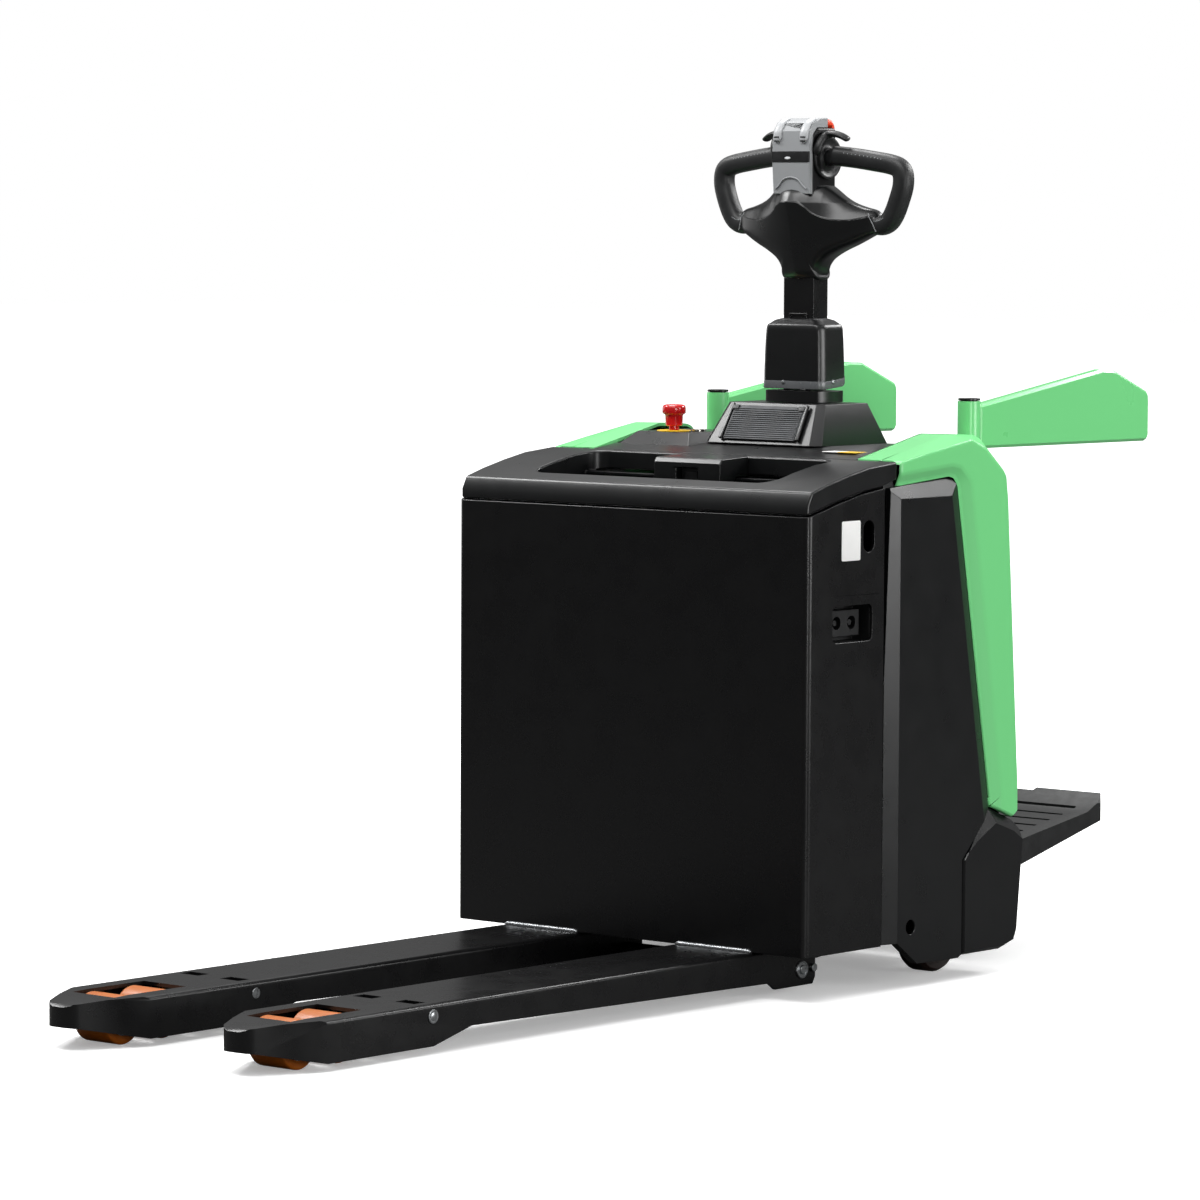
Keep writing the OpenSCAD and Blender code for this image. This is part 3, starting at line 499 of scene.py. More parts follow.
def refined(node, material, width, segments=3, angle=32, clamp=True):
    """A copy of a CAD node, merged into whole faces and with rounded edges, in the node's place."""
    body = frame["nodes"][node]["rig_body"]
    shape = bmesh.new()
    shape.from_mesh(frame["nodes"][node].data)
    bmesh.ops.remove_doubles(shape, verts=shape.verts, dist=0.00002)
    bmesh.ops.dissolve_limit(shape, angle_limit=math.radians(1.0), verts=shape.verts,
                             edges=shape.edges)
    mesh = bpy.data.meshes.new(node + "_finished")
    shape.to_mesh(mesh)
    shape.free()
    for layer in ("custom_normal", "UVMap"):
        if layer in mesh.attributes:
            mesh.attributes.remove(mesh.attributes[layer])
    piece = place_piece(node + "_finished", mesh, material, body, 30)
    if width > 0:
        rounded(piece, width, segments, angle, clamp)
    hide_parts(node)
    return piece


def dress(material, slot, *nodes):
    """Gives CAD nodes whose shape stays their finish."""
    for node in nodes:
        piece = frame["nodes"][node]
        piece.data.materials.clear()
        piece.data.materials.append(material)


def turns(sides):
    """Angles of one whole turn in equal steps."""
    return np.linspace(0, 2 * np.pi, sides, endpoint=False)


def squared(wave, power):
    """A sine or cosine raised to a power with its sign kept: below 1 it squares a circle."""
    return np.sign(wave) * np.abs(wave) ** power


def oval(half_wide, half_high, sides=40):
    """Outline of an ellipse about the origin."""
    a = turns(sides)
    return np.column_stack([half_wide * np.cos(a), half_high * np.sin(a)])


def rounded_box(x0, y0, x1, y1, radius):
    """Outline of a rectangle with rounded corners."""
    return round_corners([(x0, y0), (x1, y0), (x1, y1), (x0, y1)], radius)


def across(path, up):
    """Two unit directions square to a path at each point: n = along × up, m = along × n."""
    along = np.gradient(path, axis=0)
    along /= np.linalg.norm(along, axis=1, keepdims=True)
    n = np.cross(along, np.asarray(up, float))
    n /= np.linalg.norm(n, axis=1, keepdims=True)
    return n[:, None, :], np.cross(along, n)[:, None, :]


def along_path(values, path):
    """One value, or one for each point of a path, shaped to multiply its sections."""
    return np.broadcast_to(np.asarray(values, float), (len(path),))[:, None, None]


def smooth_path(points, steps=10, ring=False):
    """Catmull-Rom curve through points: each span is the cubic whose end slopes are half the
    difference of the neighbours, steps samples to a span."""
    p = np.asarray(points, float)
    if ring:
        before, start, end, after = np.roll(p, 1, 0), p, np.roll(p, -1, 0), np.roll(p, -2, 0)
    else:
        padded = np.vstack([2 * p[0] - p[1], p, 2 * p[-1] - p[-2]])
        before, start, end, after = padded[:-3], padded[1:-2], padded[2:-1], padded[3:]
    t = np.linspace(0, 1, steps, endpoint=False)[None, :, None]
    a, b, c, d = (q[:, None, :] for q in (before, start, end, after))
    curve = 0.5 * (2 * b + (c - a) * t + (2 * a - 5 * b + 4 * c - d) * t ** 2
                   + (3 * b - a - 3 * c + d) * t ** 3)
    curve = curve.reshape(-1, p.shape[1])
    return curve if ring else np.vstack([curve, p[-1:]])


def tube(path, radius, sides=24, up=(0, 1, 0), power=1.0):
    """A circle carried along a path: point = path + radius (c · n + s · m), where n and m stand
    square to the path, c and s are the cosine and sine of the turn raised to a power (below 1 for
    a squarer section), and the radius may change along the path."""
    n, m = across(path, up)
    c, s = (squared(wave(turns(sides)), power)[None, :, None] for wave in (np.cos, np.sin))
    return path[:, None, :] + along_path(radius, path) * (c * n + s * m)


def lathe(profile, centre, axis, sides=48):
    """A profile of (radius, height) pairs turned about an axis through a centre."""
    profile = np.asarray(profile, float) * MM
    axis = np.asarray(axis, float)
    n = np.cross(axis, [0.3, 0.5, 0.81])
    n /= np.linalg.norm(n)
    m = np.cross(axis, n)
    a = turns(sides)
    ring = np.cos(a)[:, None] * n + np.sin(a)[:, None] * m
    return (np.asarray(centre) + profile[:, None, 1:] * axis
            + profile[:, None, :1] * ring[None, :, :])


def round_corners(corners, radius, steps=5):
    """A closed outline whose corners are quadratic curves that start a radius before the corner
    and end a radius after it: (1-t)² start + 2t(1-t) corner + t² end."""
    c = np.asarray(corners, float)
    back, ahead = np.roll(c, 1, 0) - c, np.roll(c, -1, 0) - c
    lengths = [np.linalg.norm(v, axis=1, keepdims=True) for v in (back, ahead)]
    reach = np.minimum(np.broadcast_to(np.reshape(radius, (-1, 1)), (len(c), 1)),
                       0.49 * np.minimum(*lengths))
    start, end = c + back / lengths[0] * reach, c + ahead / lengths[1] * reach
    t = np.linspace(0, 1, steps)[None, :, None]
    curve = (1 - t) ** 2 * start[:, None] + 2 * t * (1 - t) * c[:, None] + t ** 2 * end[:, None]
    return curve.reshape(-1, 2)


def inset_loop(loop, distance):
    """The outline moved inwards along its own normals by a distance, for anticlockwise loops."""
    along = np.roll(loop, -1, 0) - np.roll(loop, 1, 0)
    along /= np.maximum(np.linalg.norm(along, axis=1, keepdims=True), 1e-9)
    return loop + distance * np.stack([-along[:, 1], along[:, 0]], -1)


def pad(loop, low, high, edge, origin, u, v, steps=5, bulge=0.0):
    """A flat pad over an outline in mm: origin + u·x + v·y + n·h, where the rim turns through a
    quarter circle of radius edge and the top may bulge towards its middle."""
    origin, u, v = np.asarray(origin, float), np.asarray(u, float), np.asarray(v, float)
    n = np.cross(u, v)
    area = np.sum(loop[:, 0] * np.roll(loop[:, 1], -1) - loop[:, 1] * np.roll(loop[:, 0], -1))
    loop = loop if area > 0 else loop[::-1]
    a = np.linspace(0, np.pi / 2, steps)
    insets = [0.0, *(edge * (1 - np.cos(a)))]
    heights = [low, *(high - edge + edge * np.sin(a))]
    rows = [np.column_stack([inset_loop(loop, i), np.full(len(loop), h)])
            for i, h in zip(insets, heights)]
    centre = rows[-1].mean(0)
    shares = (0.8, 0.5, 0.2) if bulge else ()
    rows += [centre + (rows[-1] - centre) * s + [0, 0, bulge * (1 - s * s)] for s in shares]
    grid = np.array(rows) * MM
    return origin + grid[..., :1] * u + grid[..., 1:2] * v + grid[..., 2:] * n


def band(profile, half, edge):
    """A (dy, z) profile on the tiller carried across from -half to half, its ends rounded."""
    loop = np.asarray(profile, float)
    a = np.linspace(0, np.pi / 2, 5)
    insets = edge * (1 - np.sin(a))
    xs = -half + edge * (1 - np.cos(a))
    inner = [np.column_stack([np.full(len(loop), x), inset_loop(loop, i)])
             for i, x in zip(insets, xs)]
    outer = [row * [-1, 1, 1] for row in inner[::-1]]
    return on_tiller(np.array(inner + outer))


def flat_rod(path, wide, thick, up=(0, 1, 0)):
    """An oval carried along a path: wide along one direction, thick along the other, and closing
    to a point at both ends as a quarter sine."""
    n, m = across(path, up)
    c, s = (wave(turns(24))[None, :, None] for wave in (np.cos, np.sin))
    ends = np.sin(np.clip(np.linspace(0, 1, len(path)) * 6, 0, 1) * np.pi / 2)
    ends = (ends * ends[::-1])[:, None, None] * 0.95 + 0.05
    return path[:, None, :] + ends * (along_path(thick, path) * c * n
                                      + along_path(wide, path) * s * m)


def mirrored(grid):
    """The same form on the other side of the truck's middle plane."""
    return grid * np.array([-1.0, 1.0, 1.0])


SIDES = (("right", lambda grid: grid), ("left", mirrored))


def make_pair(name, grids, material, body):
    """A piece on the right and its mirror image on the left; gives the right one back."""
    pieces = [make_piece(f"{side}_{name}", [turn(g) for g in grids], material, body)
              for side, turn in SIDES]
    return pieces[0]


# ---- placing by image point -----------------------------------------------------------------


def camera_ray(point):
    """Start and direction of the ray through an image point: (x - W/2 + shift_x L,
    H/2 - y + shift_y L, -L lens / sensor) in the camera's axes, L the frame's long side."""
    camera = bpy.context.scene.camera
    x, y = point
    reach = PHOTO * camera.data.lens / camera.data.sensor_width
    local = Vector((x - PHOTO / 2 + camera.data.shift_x * PHOTO,
                    PHOTO / 2 - y + camera.data.shift_y * PHOTO, -reach))
    turn = camera.matrix_world.to_3x3()
    return camera.matrix_world.translation, (turn @ local).normalized()


def on_surface(name, carrier):
    """Where the ray through a named image point meets a finished piece, as (place, normal)."""
    tree = BVHTree.FromObject(carrier, bpy.context.evaluated_depsgraph_get())
    start, along = camera_ray(POINTS[name])
    place, normal, _, _ = tree.ray_cast(start, along)
    if place is None:
        middle = start + along * (Vector(at(0, 0, 500)) - start).dot(along)
        place, normal, _, _ = tree.find_nearest(middle)
    return np.array(place), np.array(normal)


def in_photo(places):
    """Image points of places: turned into the camera's axes, divided by their depth and scaled by
    L lens / sensor."""
    camera = bpy.context.scene.camera
    away = np.asarray(places, float) - np.array(camera.matrix_world.translation)
    turned = away @ np.array(camera.matrix_world.to_3x3())
    reach = PHOTO * camera.data.lens / camera.data.sensor_width
    shift = np.array([-camera.data.shift_x, camera.data.shift_y]) * PHOTO
    return PHOTO / 2 + turned[:, :2] / -turned[:, 2:] * reach * [1, -1] + shift


def finished_points(piece):
    """A piece's finished vertices in the frame."""
    done = piece.evaluated_get(bpy.context.evaluated_depsgraph_get())
    mesh = done.to_mesh()
    place = np.empty(len(mesh.vertices) * 3, np.float32)
    mesh.vertices.foreach_get("co", place)
    done.to_mesh_clear()
    return place.reshape(-1, 3)


# ---- operators ------------------------------------------------------------------------------


class TRUCK_OT_stage(bpy.types.Operator):
    """Floor, soft studio light and the camera"""

    bl_idname = "truck.stage"
    bl_label = "Stage"

    def execute(self, context):
        settings = context.scene.truck_stage
        self.camera(context, settings)
        self.floor()
        self.surroundings(context, settings)
        self.softboxes(settings)
        context.scene.view_settings.view_transform = "Standard"
        return {"FINISHED"}

    def camera(self, context, s):
        """Looks along (-sin yaw cos pitch, cos yaw cos pitch, sin pitch), turned by roll."""
        ahead = Vector((-math.sin(s.yaw) * math.cos(s.pitch),
                        math.cos(s.yaw) * math.cos(s.pitch), math.sin(s.pitch)))
        right = Vector((math.cos(s.yaw), math.sin(s.yaw), 0.0))
        up = right.cross(ahead)
        tilted = right * math.cos(s.roll) + up * math.sin(s.roll)
        up = up * math.cos(s.roll) - right * math.sin(s.roll)
        turn = Matrix((tilted, up, -ahead)).transposed().to_4x4()
        data = bpy.data.cameras.new("camera")
        data.sensor_fit = "AUTO"
        data.lens = s.lens
        data.clip_end = 100.0
        camera = bpy.data.objects.new("camera", data)
        context.scene.collection.objects.link(camera)
        place = Vector((s.camera_x, s.camera_y + FACE_Y, s.camera_z))
        camera.matrix_world = Matrix.Translation(place) @ turn
        context.scene.camera = camera

    def floor(self):
        half = 40.0
        mesh = bpy.data.meshes.new("floor")
        corners = [(-half, -half, 0), (half, -half, 0), (half, half, 0), (-half, half, 0)]
        mesh.from_pydata(corners, [], [(0, 1, 2, 3)])
        floor = bpy.data.objects.new("floor", mesh)
        bpy.context.scene.collection.objects.link(floor)
        mesh.materials.append(self.paper())
        floor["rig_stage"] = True

    def paper(self):
        """Matt white paper to the camera, which glows white away from the truck; the truck sees a
        darker one, so its sides stay black."""
        paper = bpy.data.materials.new("white_studio_paper")
        paper.use_nodes = True
        tree = paper.node_tree
        tree.nodes.clear()
        seen = add_node(tree, "ShaderNodeLightPath").outputs["Is Camera Ray"]
        dim = add_node(tree, "ShaderNodeBsdfDiffuse", {"Color": linear("#5c5c5c")})
        matt = add_node(tree, "ShaderNodeBsdfDiffuse", {"Color": linear("#fafafa")})
        place = add_node(tree, "ShaderNodeTexCoord").outputs["Object"]
        away = add_node(tree, "ShaderNodeVectorMath", {0: place}, operation="LENGTH")
        strength = add_node(tree, "ShaderNodeMapRange", {
            "Value": away.outputs["Value"], "From Min": 1.6, "From Max": 4.5, "To Min": 0.3,
            "To Max": 1.0}, interpolation_type="SMOOTHSTEP")
        glow = add_node(tree, "ShaderNodeEmission", {"Strength": strength.outputs["Result"]})
        lit = add_node(tree, "ShaderNodeAddShader", {0: matt.outputs[0], 1: glow.outputs[0]})
        both = add_node(tree, "ShaderNodeMixShader", {
            "Fac": seen, 1: dim.outputs[0], 2: lit.outputs[0]})
        add_node(tree, "ShaderNodeOutputMaterial", {"Surface": both.outputs[0]})
        return paper

    def surroundings(self, context, settings):
        """White where the camera looks past the truck; as a light, dim at the horizon and bright
        overhead, as under a studio's ceiling softbox."""
        world = bpy.data.worlds.new("white_surroundings")
        context.scene.world = world
        world.use_nodes = True
        tree = world.node_tree
        tree.nodes.clear()
        way = add_node(tree, "ShaderNodeTexCoord").outputs["Generated"]
        height = add_node(tree, "ShaderNodeSeparateXYZ", {"Vector": way}).outputs["Z"]
        glow = add_node(tree, "ShaderNodeMapRange", {
            "Value": height, "From Min": 0.12, "From Max": 0.75, "To Min": settings.world,
            "To Max": settings.overhead}, interpolation_type="SMOOTHSTEP")
        seen = add_node(tree, "ShaderNodeLightPath").outputs["Is Camera Ray"]
        light = add_node(tree, "ShaderNodeBackground", {
            "Color": (1, 1, 1, 1), "Strength": glow.outputs["Result"]})
        plain = add_node(tree, "ShaderNodeBackground", {"Color": (1, 1, 1, 1), "Strength": 1.0})
        both = add_node(tree, "ShaderNodeMixShader", {
            "Fac": seen, 1: light.outputs[0], 2: plain.outputs[0]})
        add_node(tree, "ShaderNodeOutputWorld", {"Surface": both.outputs[0]})

    def softboxes(self, settings):
        """Panels aimed at the truck. The four high ones stand where the rounded edges mirror them
        to the camera, so they draw the bright lines; the rest light the faces softly."""
        panels = {
            "ceiling": ((-1.6, 1.4, 4.4), (1.6, 1.6), 0.40),
            "front_edges": ((-3.3, -1.0, 3.9), (1.6, 1.0), 0.40),
            "side_edges": ((1.3, 4.0, 3.1), (2.8, 1.0), 0.45),
            "slopes": ((0.2, -2.1, 4.4), (3.8, 1.2), 0.45),
            "corner_strip": ((6.4, -3.4, 1.2), (0.5, 1.6), 0.32),
            "right": ((5.0, 1.6, 1.4), (2.2, 2.0), 0.42),
            "left": ((-5.0, 0.4, 1.6), (2.4, 2.4), 0.10),
        }
        for name, (place, size, share) in panels.items():
            data = bpy.data.lights.new(name + "_softbox", "AREA")
            data.shape = "RECTANGLE"
            data.size, data.size_y = size
            data.energy = settings.softbox * share
            light = bpy.data.objects.new(name + "_softbox", data)
            bpy.context.scene.collection.objects.link(light)
            aim = Vector((0, 0, 0.5)) - Vector(place)
            light.matrix_world = (Matrix.Translation(place)
                                  @ aim.to_track_quat("-Z", "Y").to_matrix().to_4x4())
            light.visible_camera = False


class TRUCK_OT_forks(bpy.types.Operator):
    """Forks with rounded plate edges, the weld beads at their heels and the pins' heads"""

    bl_idname = "truck.forks"
    bl_label = "Forks"

    def execute(self, context):
        s = sizes()
        for side in ("left", "right"):
            self.deepen(refined(side + "_fork", powder_coat(), 2.6 * MM, 4))
        refined("arm_axles", zinc_plate(), 0.8 * MM)
        refined("lift_rocker", powder_coat(), s.sheet_edge)
        self.welds(s.weld)
        self.pin_heads()
        return {"FINISHED"}

    def deepen(self, fork):
        """Lowers the webs' lower edge, ahead of the roller arms' pins, to the real height: the
        vertices within 1.5 mm of the solid's edge move down to the real one."""
        solid_edge, real_edge, pins = 22 * MM, 13 * MM, at(0, -780, 0)[1]
        place = np.empty(len(fork.data.vertices) * 3, np.float32)
        fork.data.vertices.foreach_get("co", place)
        place = place.reshape(-1, 3)
        ahead = (np.abs(place[:, 2] - solid_edge) < 1.5 * MM) & (place[:, 1] < pins)
        place[ahead, 2] = real_edge
        fork.data.vertices.foreach_set("co", place.ravel())
        fork.data.update()

    def bead(self, start, end, radius):
        """A weld bead: a tube whose radius is r (1 + 0.14 |sin|) over ripples 3 mm apart, and
        narrows at its ends as the square root of the way to them."""
        length = np.linalg.norm(end - start)
        t = np.linspace(0, 1, 160)[:, None]
        path = start + (end - start) * t
        ripple = 1 + 0.14 * np.abs(np.sin(np.pi * t[:, 0] * length / (3 * MM)))
        ends = np.clip(np.minimum(t[:, 0], 1 - t[:, 0]) * 26, 0.15, 1) ** 0.5
        return tube(path, radius * ripple * ends, 14, (0, 0, 1))

    def welds(self, radius):
        """A bead across each fork where it meets the battery box."""
        y = FACE_Y - 1.5 * MM
        z = FORK_TOP + 1.0 * MM
        for name, side in (("left_weld", -1), ("right_weld", 1)):
            inner, outer = side * (FORK_IN + 4 * MM), side * (FORK_OUT - 3 * MM)
            bead = self.bead(np.array([inner, y, z]), np.array([outer, y, z]), radius)
            NAMED[name] = make_piece(name, [bead], weld_metal(), "lift_carriage")

    def pin_heads(self):
        """Hexagon-socket heads on the outer flange: the rocker shaft's and the roller arm's."""
        heads = []
        shaft = [(0, 0), (15, 0), (15, 2.5), (14, 3.5), (12.5, 3.5), (12, 2.5), (8, 2.5),
                 (7.5, 5), (6.5, 5.6), (0, 5.6)]
        for side in (-1, 1):
            axis = (side, 0, 0)
            rocker = at(0, 130, 39)
            rocker[0] = side * (FORK_OUT - 0.2 * MM)
            heads.append(lathe(shaft, rocker, axis, 40))
            pin = at(0, -792, 60)
            pin[0] = side * (FORK_OUT + 1.6 * MM)
            heads.append(lathe([(0, 0), (7.5, 0), (7.5, 0.6), (5.5, 1.4), (0, 1.4)], pin, axis, 6))
        make_piece("pin_heads", heads, zinc_plate(), "lift_carriage", 30)
        NAMED["fork_pin"] = [pin]


class TRUCK_OT_load_rollers(bpy.types.Operator):
    """Tandem load rollers, their bogies, arms and pull rods"""

    bl_idname = "truck.load_rollers"
    bl_label = "Load rollers"

    def execute(self, context):
        for side in ("left", "right"):
            refined(side + "_roller_arm", powder_coat(), 1.2 * MM)
            refined(side + "_bogie", zinc_plate(), 1.0 * MM)
            for place in ("front", "rear"):
                self.roller(f"{side}_{place}_roller")
        dress(zinc_plate(), "bare_steel", "pull_rods")
        return {"FINISHED"}

    def roller(self, node):
        """A tread with rounded shoulders on a steel core with a recessed bearing."""
        low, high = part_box(node)
        centre = (np.array(low) + np.array(high)) / 2
        r, w = (high.z - low.z) / 2 / MM, (high.x - low.x) / 2 / MM
        a = np.linspace(0, np.pi / 2, 6)
        shoulder = [(r - 4 + 4 * math.sin(t), w - 4 + 4 * math.cos(t)) for t in a]
        half = [(24.5, w - 0.6), (26, w)] + shoulder
        tread = [(24.5, -w + 0.6)] + [(x, -y) for x, y in half[1:]] + half[::-1][:-1] \
            + [(24.5, w - 0.6)]
        body = frame["nodes"][node]["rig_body"]
        piece = make_piece(node + "_tread", [(lathe(tread, centre, (1, 0, 0), 64), True)],
                           roller_tread(), body, 40)
        core = [(6.2, -w + 2), (13, -w + 2), (14, -w + 1), (24.5, -w + 1), (24.5, w - 1),
                (14, w - 1), (13, w - 2), (6.2, w - 2)]
        make_piece(node + "_core", [(lathe(core, centre, (1, 0, 0), 48), True)],
                   turned_steel(), body, 30)
        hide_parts(node)


class TRUCK_OT_battery_box(bpy.types.Operator):
    """Battery box with its charging port, lifting slots and blank plates"""

    bl_idname = "truck.battery_box"
    bl_label = "Battery box"

    def execute(self, context):
        box = refined("battery_box", powder_coat(), sizes().sheet_edge)
        dress(pack_case(), "pack_case", "battery_pack")
        refined("charge_socket", dark_moulding(), 0.8 * MM)
        refined("lift_bracket", powder_coat(), sizes().sheet_edge)
        dress(ram_chrome(), "ram_chrome", "lift_ram")
        self.plates(box)
        low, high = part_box("battery_box")
        front_top = at(0, 0, 808)[2]
        NAMED["box_top_left"] = [(low.x, low.y, front_top)]
        NAMED["box_bottom_right"] = [(high.x, low.y, low.z)]
        return {"FINISHED"}

    def plates(self, box):
        """Blank white plates beside the lifting slots."""
        place, _ = on_surface("hook_plate", box)
        outline = rounded_box(-25, -33, 25, 33, 3.5)
        grid = pad(outline, 0, sizes().plate / MM, 0.4, (HALF_W, place[1], place[2]),
                   (0, 1, 0), (0, 0, 1))
        NAMED["hook_plate"] = make_pair("hook_plate", [grid], white_enamel(), "lift_carriage")


class TRUCK_OT_lid(bpy.types.Operator):
    """Lid with the storage tray, and the block with its socket"""

    bl_idname = "truck.lid"
    bl_label = "Tray lid"

    def execute(self, context):
        refined("tray_lid", black_moulding(), 4.0 * MM, 5, clamp=False)
        refined("tray_block", black_moulding(), 2.2 * MM, 4)
        self.socket()
        NAMED["lid_front_right"] = [(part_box("tray_lid")[1].x, *at(0, 8, 835)[1:])]
        return {"FINISHED"}

    def socket(self):
        """Square rim and dark blank in the block's pocket."""
        back = at(0, 170, 855)
        blank = pad(rounded_box(-23, -16, 23, 16, 3), 0, 3, 1.0, back, (1, 0, 0), (0, 0, 1))
        module = pad(rounded_box(-14, -10, 14, 10, 2), 3, 6, 1.0, back, (1, 0, 0), (0, 0, 1))
        make_piece("tray_socket", [blank, module], dark_moulding(), "lift_carriage")


class TRUCK_OT_deck(bpy.types.Operator):
    """Deck with the emergency stop, key switch and a blank plate"""

    bl_idname = "truck.deck"
    bl_label = "Deck"

    def execute(self, context):
        deck = refined("deck_cover", black_moulding(), 2.0 * MM)
        refined("estop_base", yellow_ring(), 0.5 * MM)
        NAMED["key"] = refined("key_switch", nickel(), 0.6 * MM)
        self.stop_knob()
        self.plate(deck)
        return {"FINISHED"}

    def stop_knob(self):
        """Mushroom knob turned from a profile: neck, collar, and a head with a rounded rim."""
        low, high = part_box("estop_knob")
        centre = np.array([(low.x + high.x) / 2, (low.y + high.y) / 2, low.z])
        profile = [(0, 0), (9, 0), (9, 31), (13.4, 31.6), (15, 33), (15.6, 49), (16.6, 51.5),
                   (19.6, 53), (20.6, 54.5), (20.6, 63), (20, 65.6), (18, 67.8), (14, 69),
                   (0, 69.6)]
        piece = make_piece("estop_knob_finished", [lathe(profile, centre, (0, 0, 1), 64)],
                           red_gloss(), "estop_knob", 35)
        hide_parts("estop_knob")
        NAMED["emergency_stop"] = [centre + np.array([0, 0, 60 * MM])]

    def plate(self, deck):
        """Blank plate on the deck's right: an enamelled half and a yellow half."""
        place, _ = on_surface("deck_plate", deck)
        origin = (place[0], place[1], place[2] - 0.2 * MM)
        halves = {"deck_plate": (0, 38, yellow_ring()), "deck_plate_white": (-34, 0, white_enamel())}
        for name, (start, end, material) in halves.items():
            grid = pad(rounded_box(start, -24, end, 24, 2), 0, 1.0, 0.4, origin, (1, 0, 0),
                       (0, 1, 0))
            make_piece(name, [grid], material, "chassis")
        NAMED["deck_plate"] = [place]


class TRUCK_OT_pod(bpy.types.Operator):
    """Column housing and its ribbed panel"""

    bl_idname = "truck.pod"
    bl_label = "Pod"

    def execute(self, context):
        refined("pod_cover", black_moulding(), 5.0 * MM, 5, 20)
        refined("pod_grille", grille_moulding(), 0.5 * MM, 2)
        self.frame()
        return {"FINISHED"}

    def frame(self):
        """Raised rails beside the ribbed panel and two dark clips over its upper corners. They lie
        on the pod's front, which leans back by 42 in 70."""
        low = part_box("pod_grille")[0]
        lean = math.atan(42 / 70)
        up = np.array([0, math.sin(lean), math.cos(lean)])
        foot = np.array([0, low.y, low.z]) + np.array([0, 1.5, 0]) * MM
        rails, clips = [], []
        for side in (-1, 1):
            rail = round_corners([(81, 0), (88, 0), (84, 70), (79, 70)], 2)
            rails.append(pad(rail * [side, 1], 0, 4.5, 1.5, foot, (1, 0, 0), up))
            clip = rounded_box(66, 57, 80, 66, 1.5)
            clips.append(pad(clip * [side, 1], 0, 5.5, 1.0, foot, (1, 0, 0), up))
        make_piece("pod_rails", rails, black_moulding(), "chassis")
        make_piece("pod_clips", clips, dark_moulding(), "chassis")


class TRUCK_OT_side_covers(bpy.types.Operator):
    """Black side covers, green frames and bumpers"""

    bl_idname = "truck.side_covers"
    bl_label = "Side covers"

    def execute(self, context):
        s = sizes()
        for side in ("left", "right"):
            refined(side + "_side_cover", black_moulding(), s.moulded_edge, 4, 12)
            refined(side + "_green_frame", green_enamel(), s.body_edge, 5, 12,
                    clamp=False)
            refined(side + "_bumper", black_moulding(), s.moulded_edge, 4, 12)
        NAMED["cover_hole"] = [(HALF_W, *at(0, 286, 105)[1:])]
        self.backing()
        return {"FINISHED"}

    def backing(self):
        """Dark lips behind the covers' upper edges, which close the gap to the green frames."""
        lip = round_corners([(222, 836), (392, 846), (404, 838), (424, 838), (424, 858),
                             (412, 874), (396, 880), (256, 868), (222, 866)], 4)
        origin = (HALF_W - 19.5 * MM, FACE_Y, 0)
        grid = pad(lip, 0, 2.5, 0.5, origin, (0, 1, 0), (0, 0, 1))
        make_piece("cover_lips", [grid, mirrored(grid)], dark_moulding(), "chassis")


class TRUCK_OT_chassis(bpy.types.Operator):
    """Chassis frame, rear panel, hydraulic unit and electrics"""

    bl_idname = "truck.chassis"
    bl_label = "Chassis"

    def execute(self, context):
        s = sizes()
        refined("chassis_frame", powder_coat(), s.sheet_edge, 2)
        refined("rocker_lugs", powder_coat(), s.sheet_edge, 2)
        refined("rear_panel", black_moulding(), 1.5 * MM)
        refined("arm_posts", powder_coat(), 1.2 * MM)
        dress(cast_iron(), "cast_housing", "lift_cylinder", "gearbox")
        dress(cast_alloy(), "alloy", "power_units")
        dress(turned_steel(), "bare_steel", "slew_bearing", "steering_shaft")
        dress(powder_coat(), "black_paint", "drive_motor")
        return {"FINISHED"}


class TRUCK_OT_wheels(bpy.types.Operator):
    """Drive wheel and casters"""

    bl_idname = "truck.wheels"
    bl_label = "Wheels"

    def execute(self, context):
        refined("drive_wheel", drive_tread(), 2.0 * MM)
        for side in ("left", "right"):
            refined(side + "_caster_fork", zinc_plate(), 1.0 * MM)
            refined(side + "_caster_wheel", caster_tread(), 1.5 * MM)
        return {"FINISHED"}


class TRUCK_OT_arms_and_step(bpy.types.Operator):
    """Folding side arms and the step platform"""

    bl_idname = "truck.arms_and_step"
    bl_label = "Arms and step"

    def execute(self, context):
        for side in ("left", "right"):
            refined(side + "_arm", green_enamel(), 7.0 * MM, 6, 20)
        refined("platform", step_rubber(), 2.5 * MM, 4, 20)
        return {"FINISHED"}


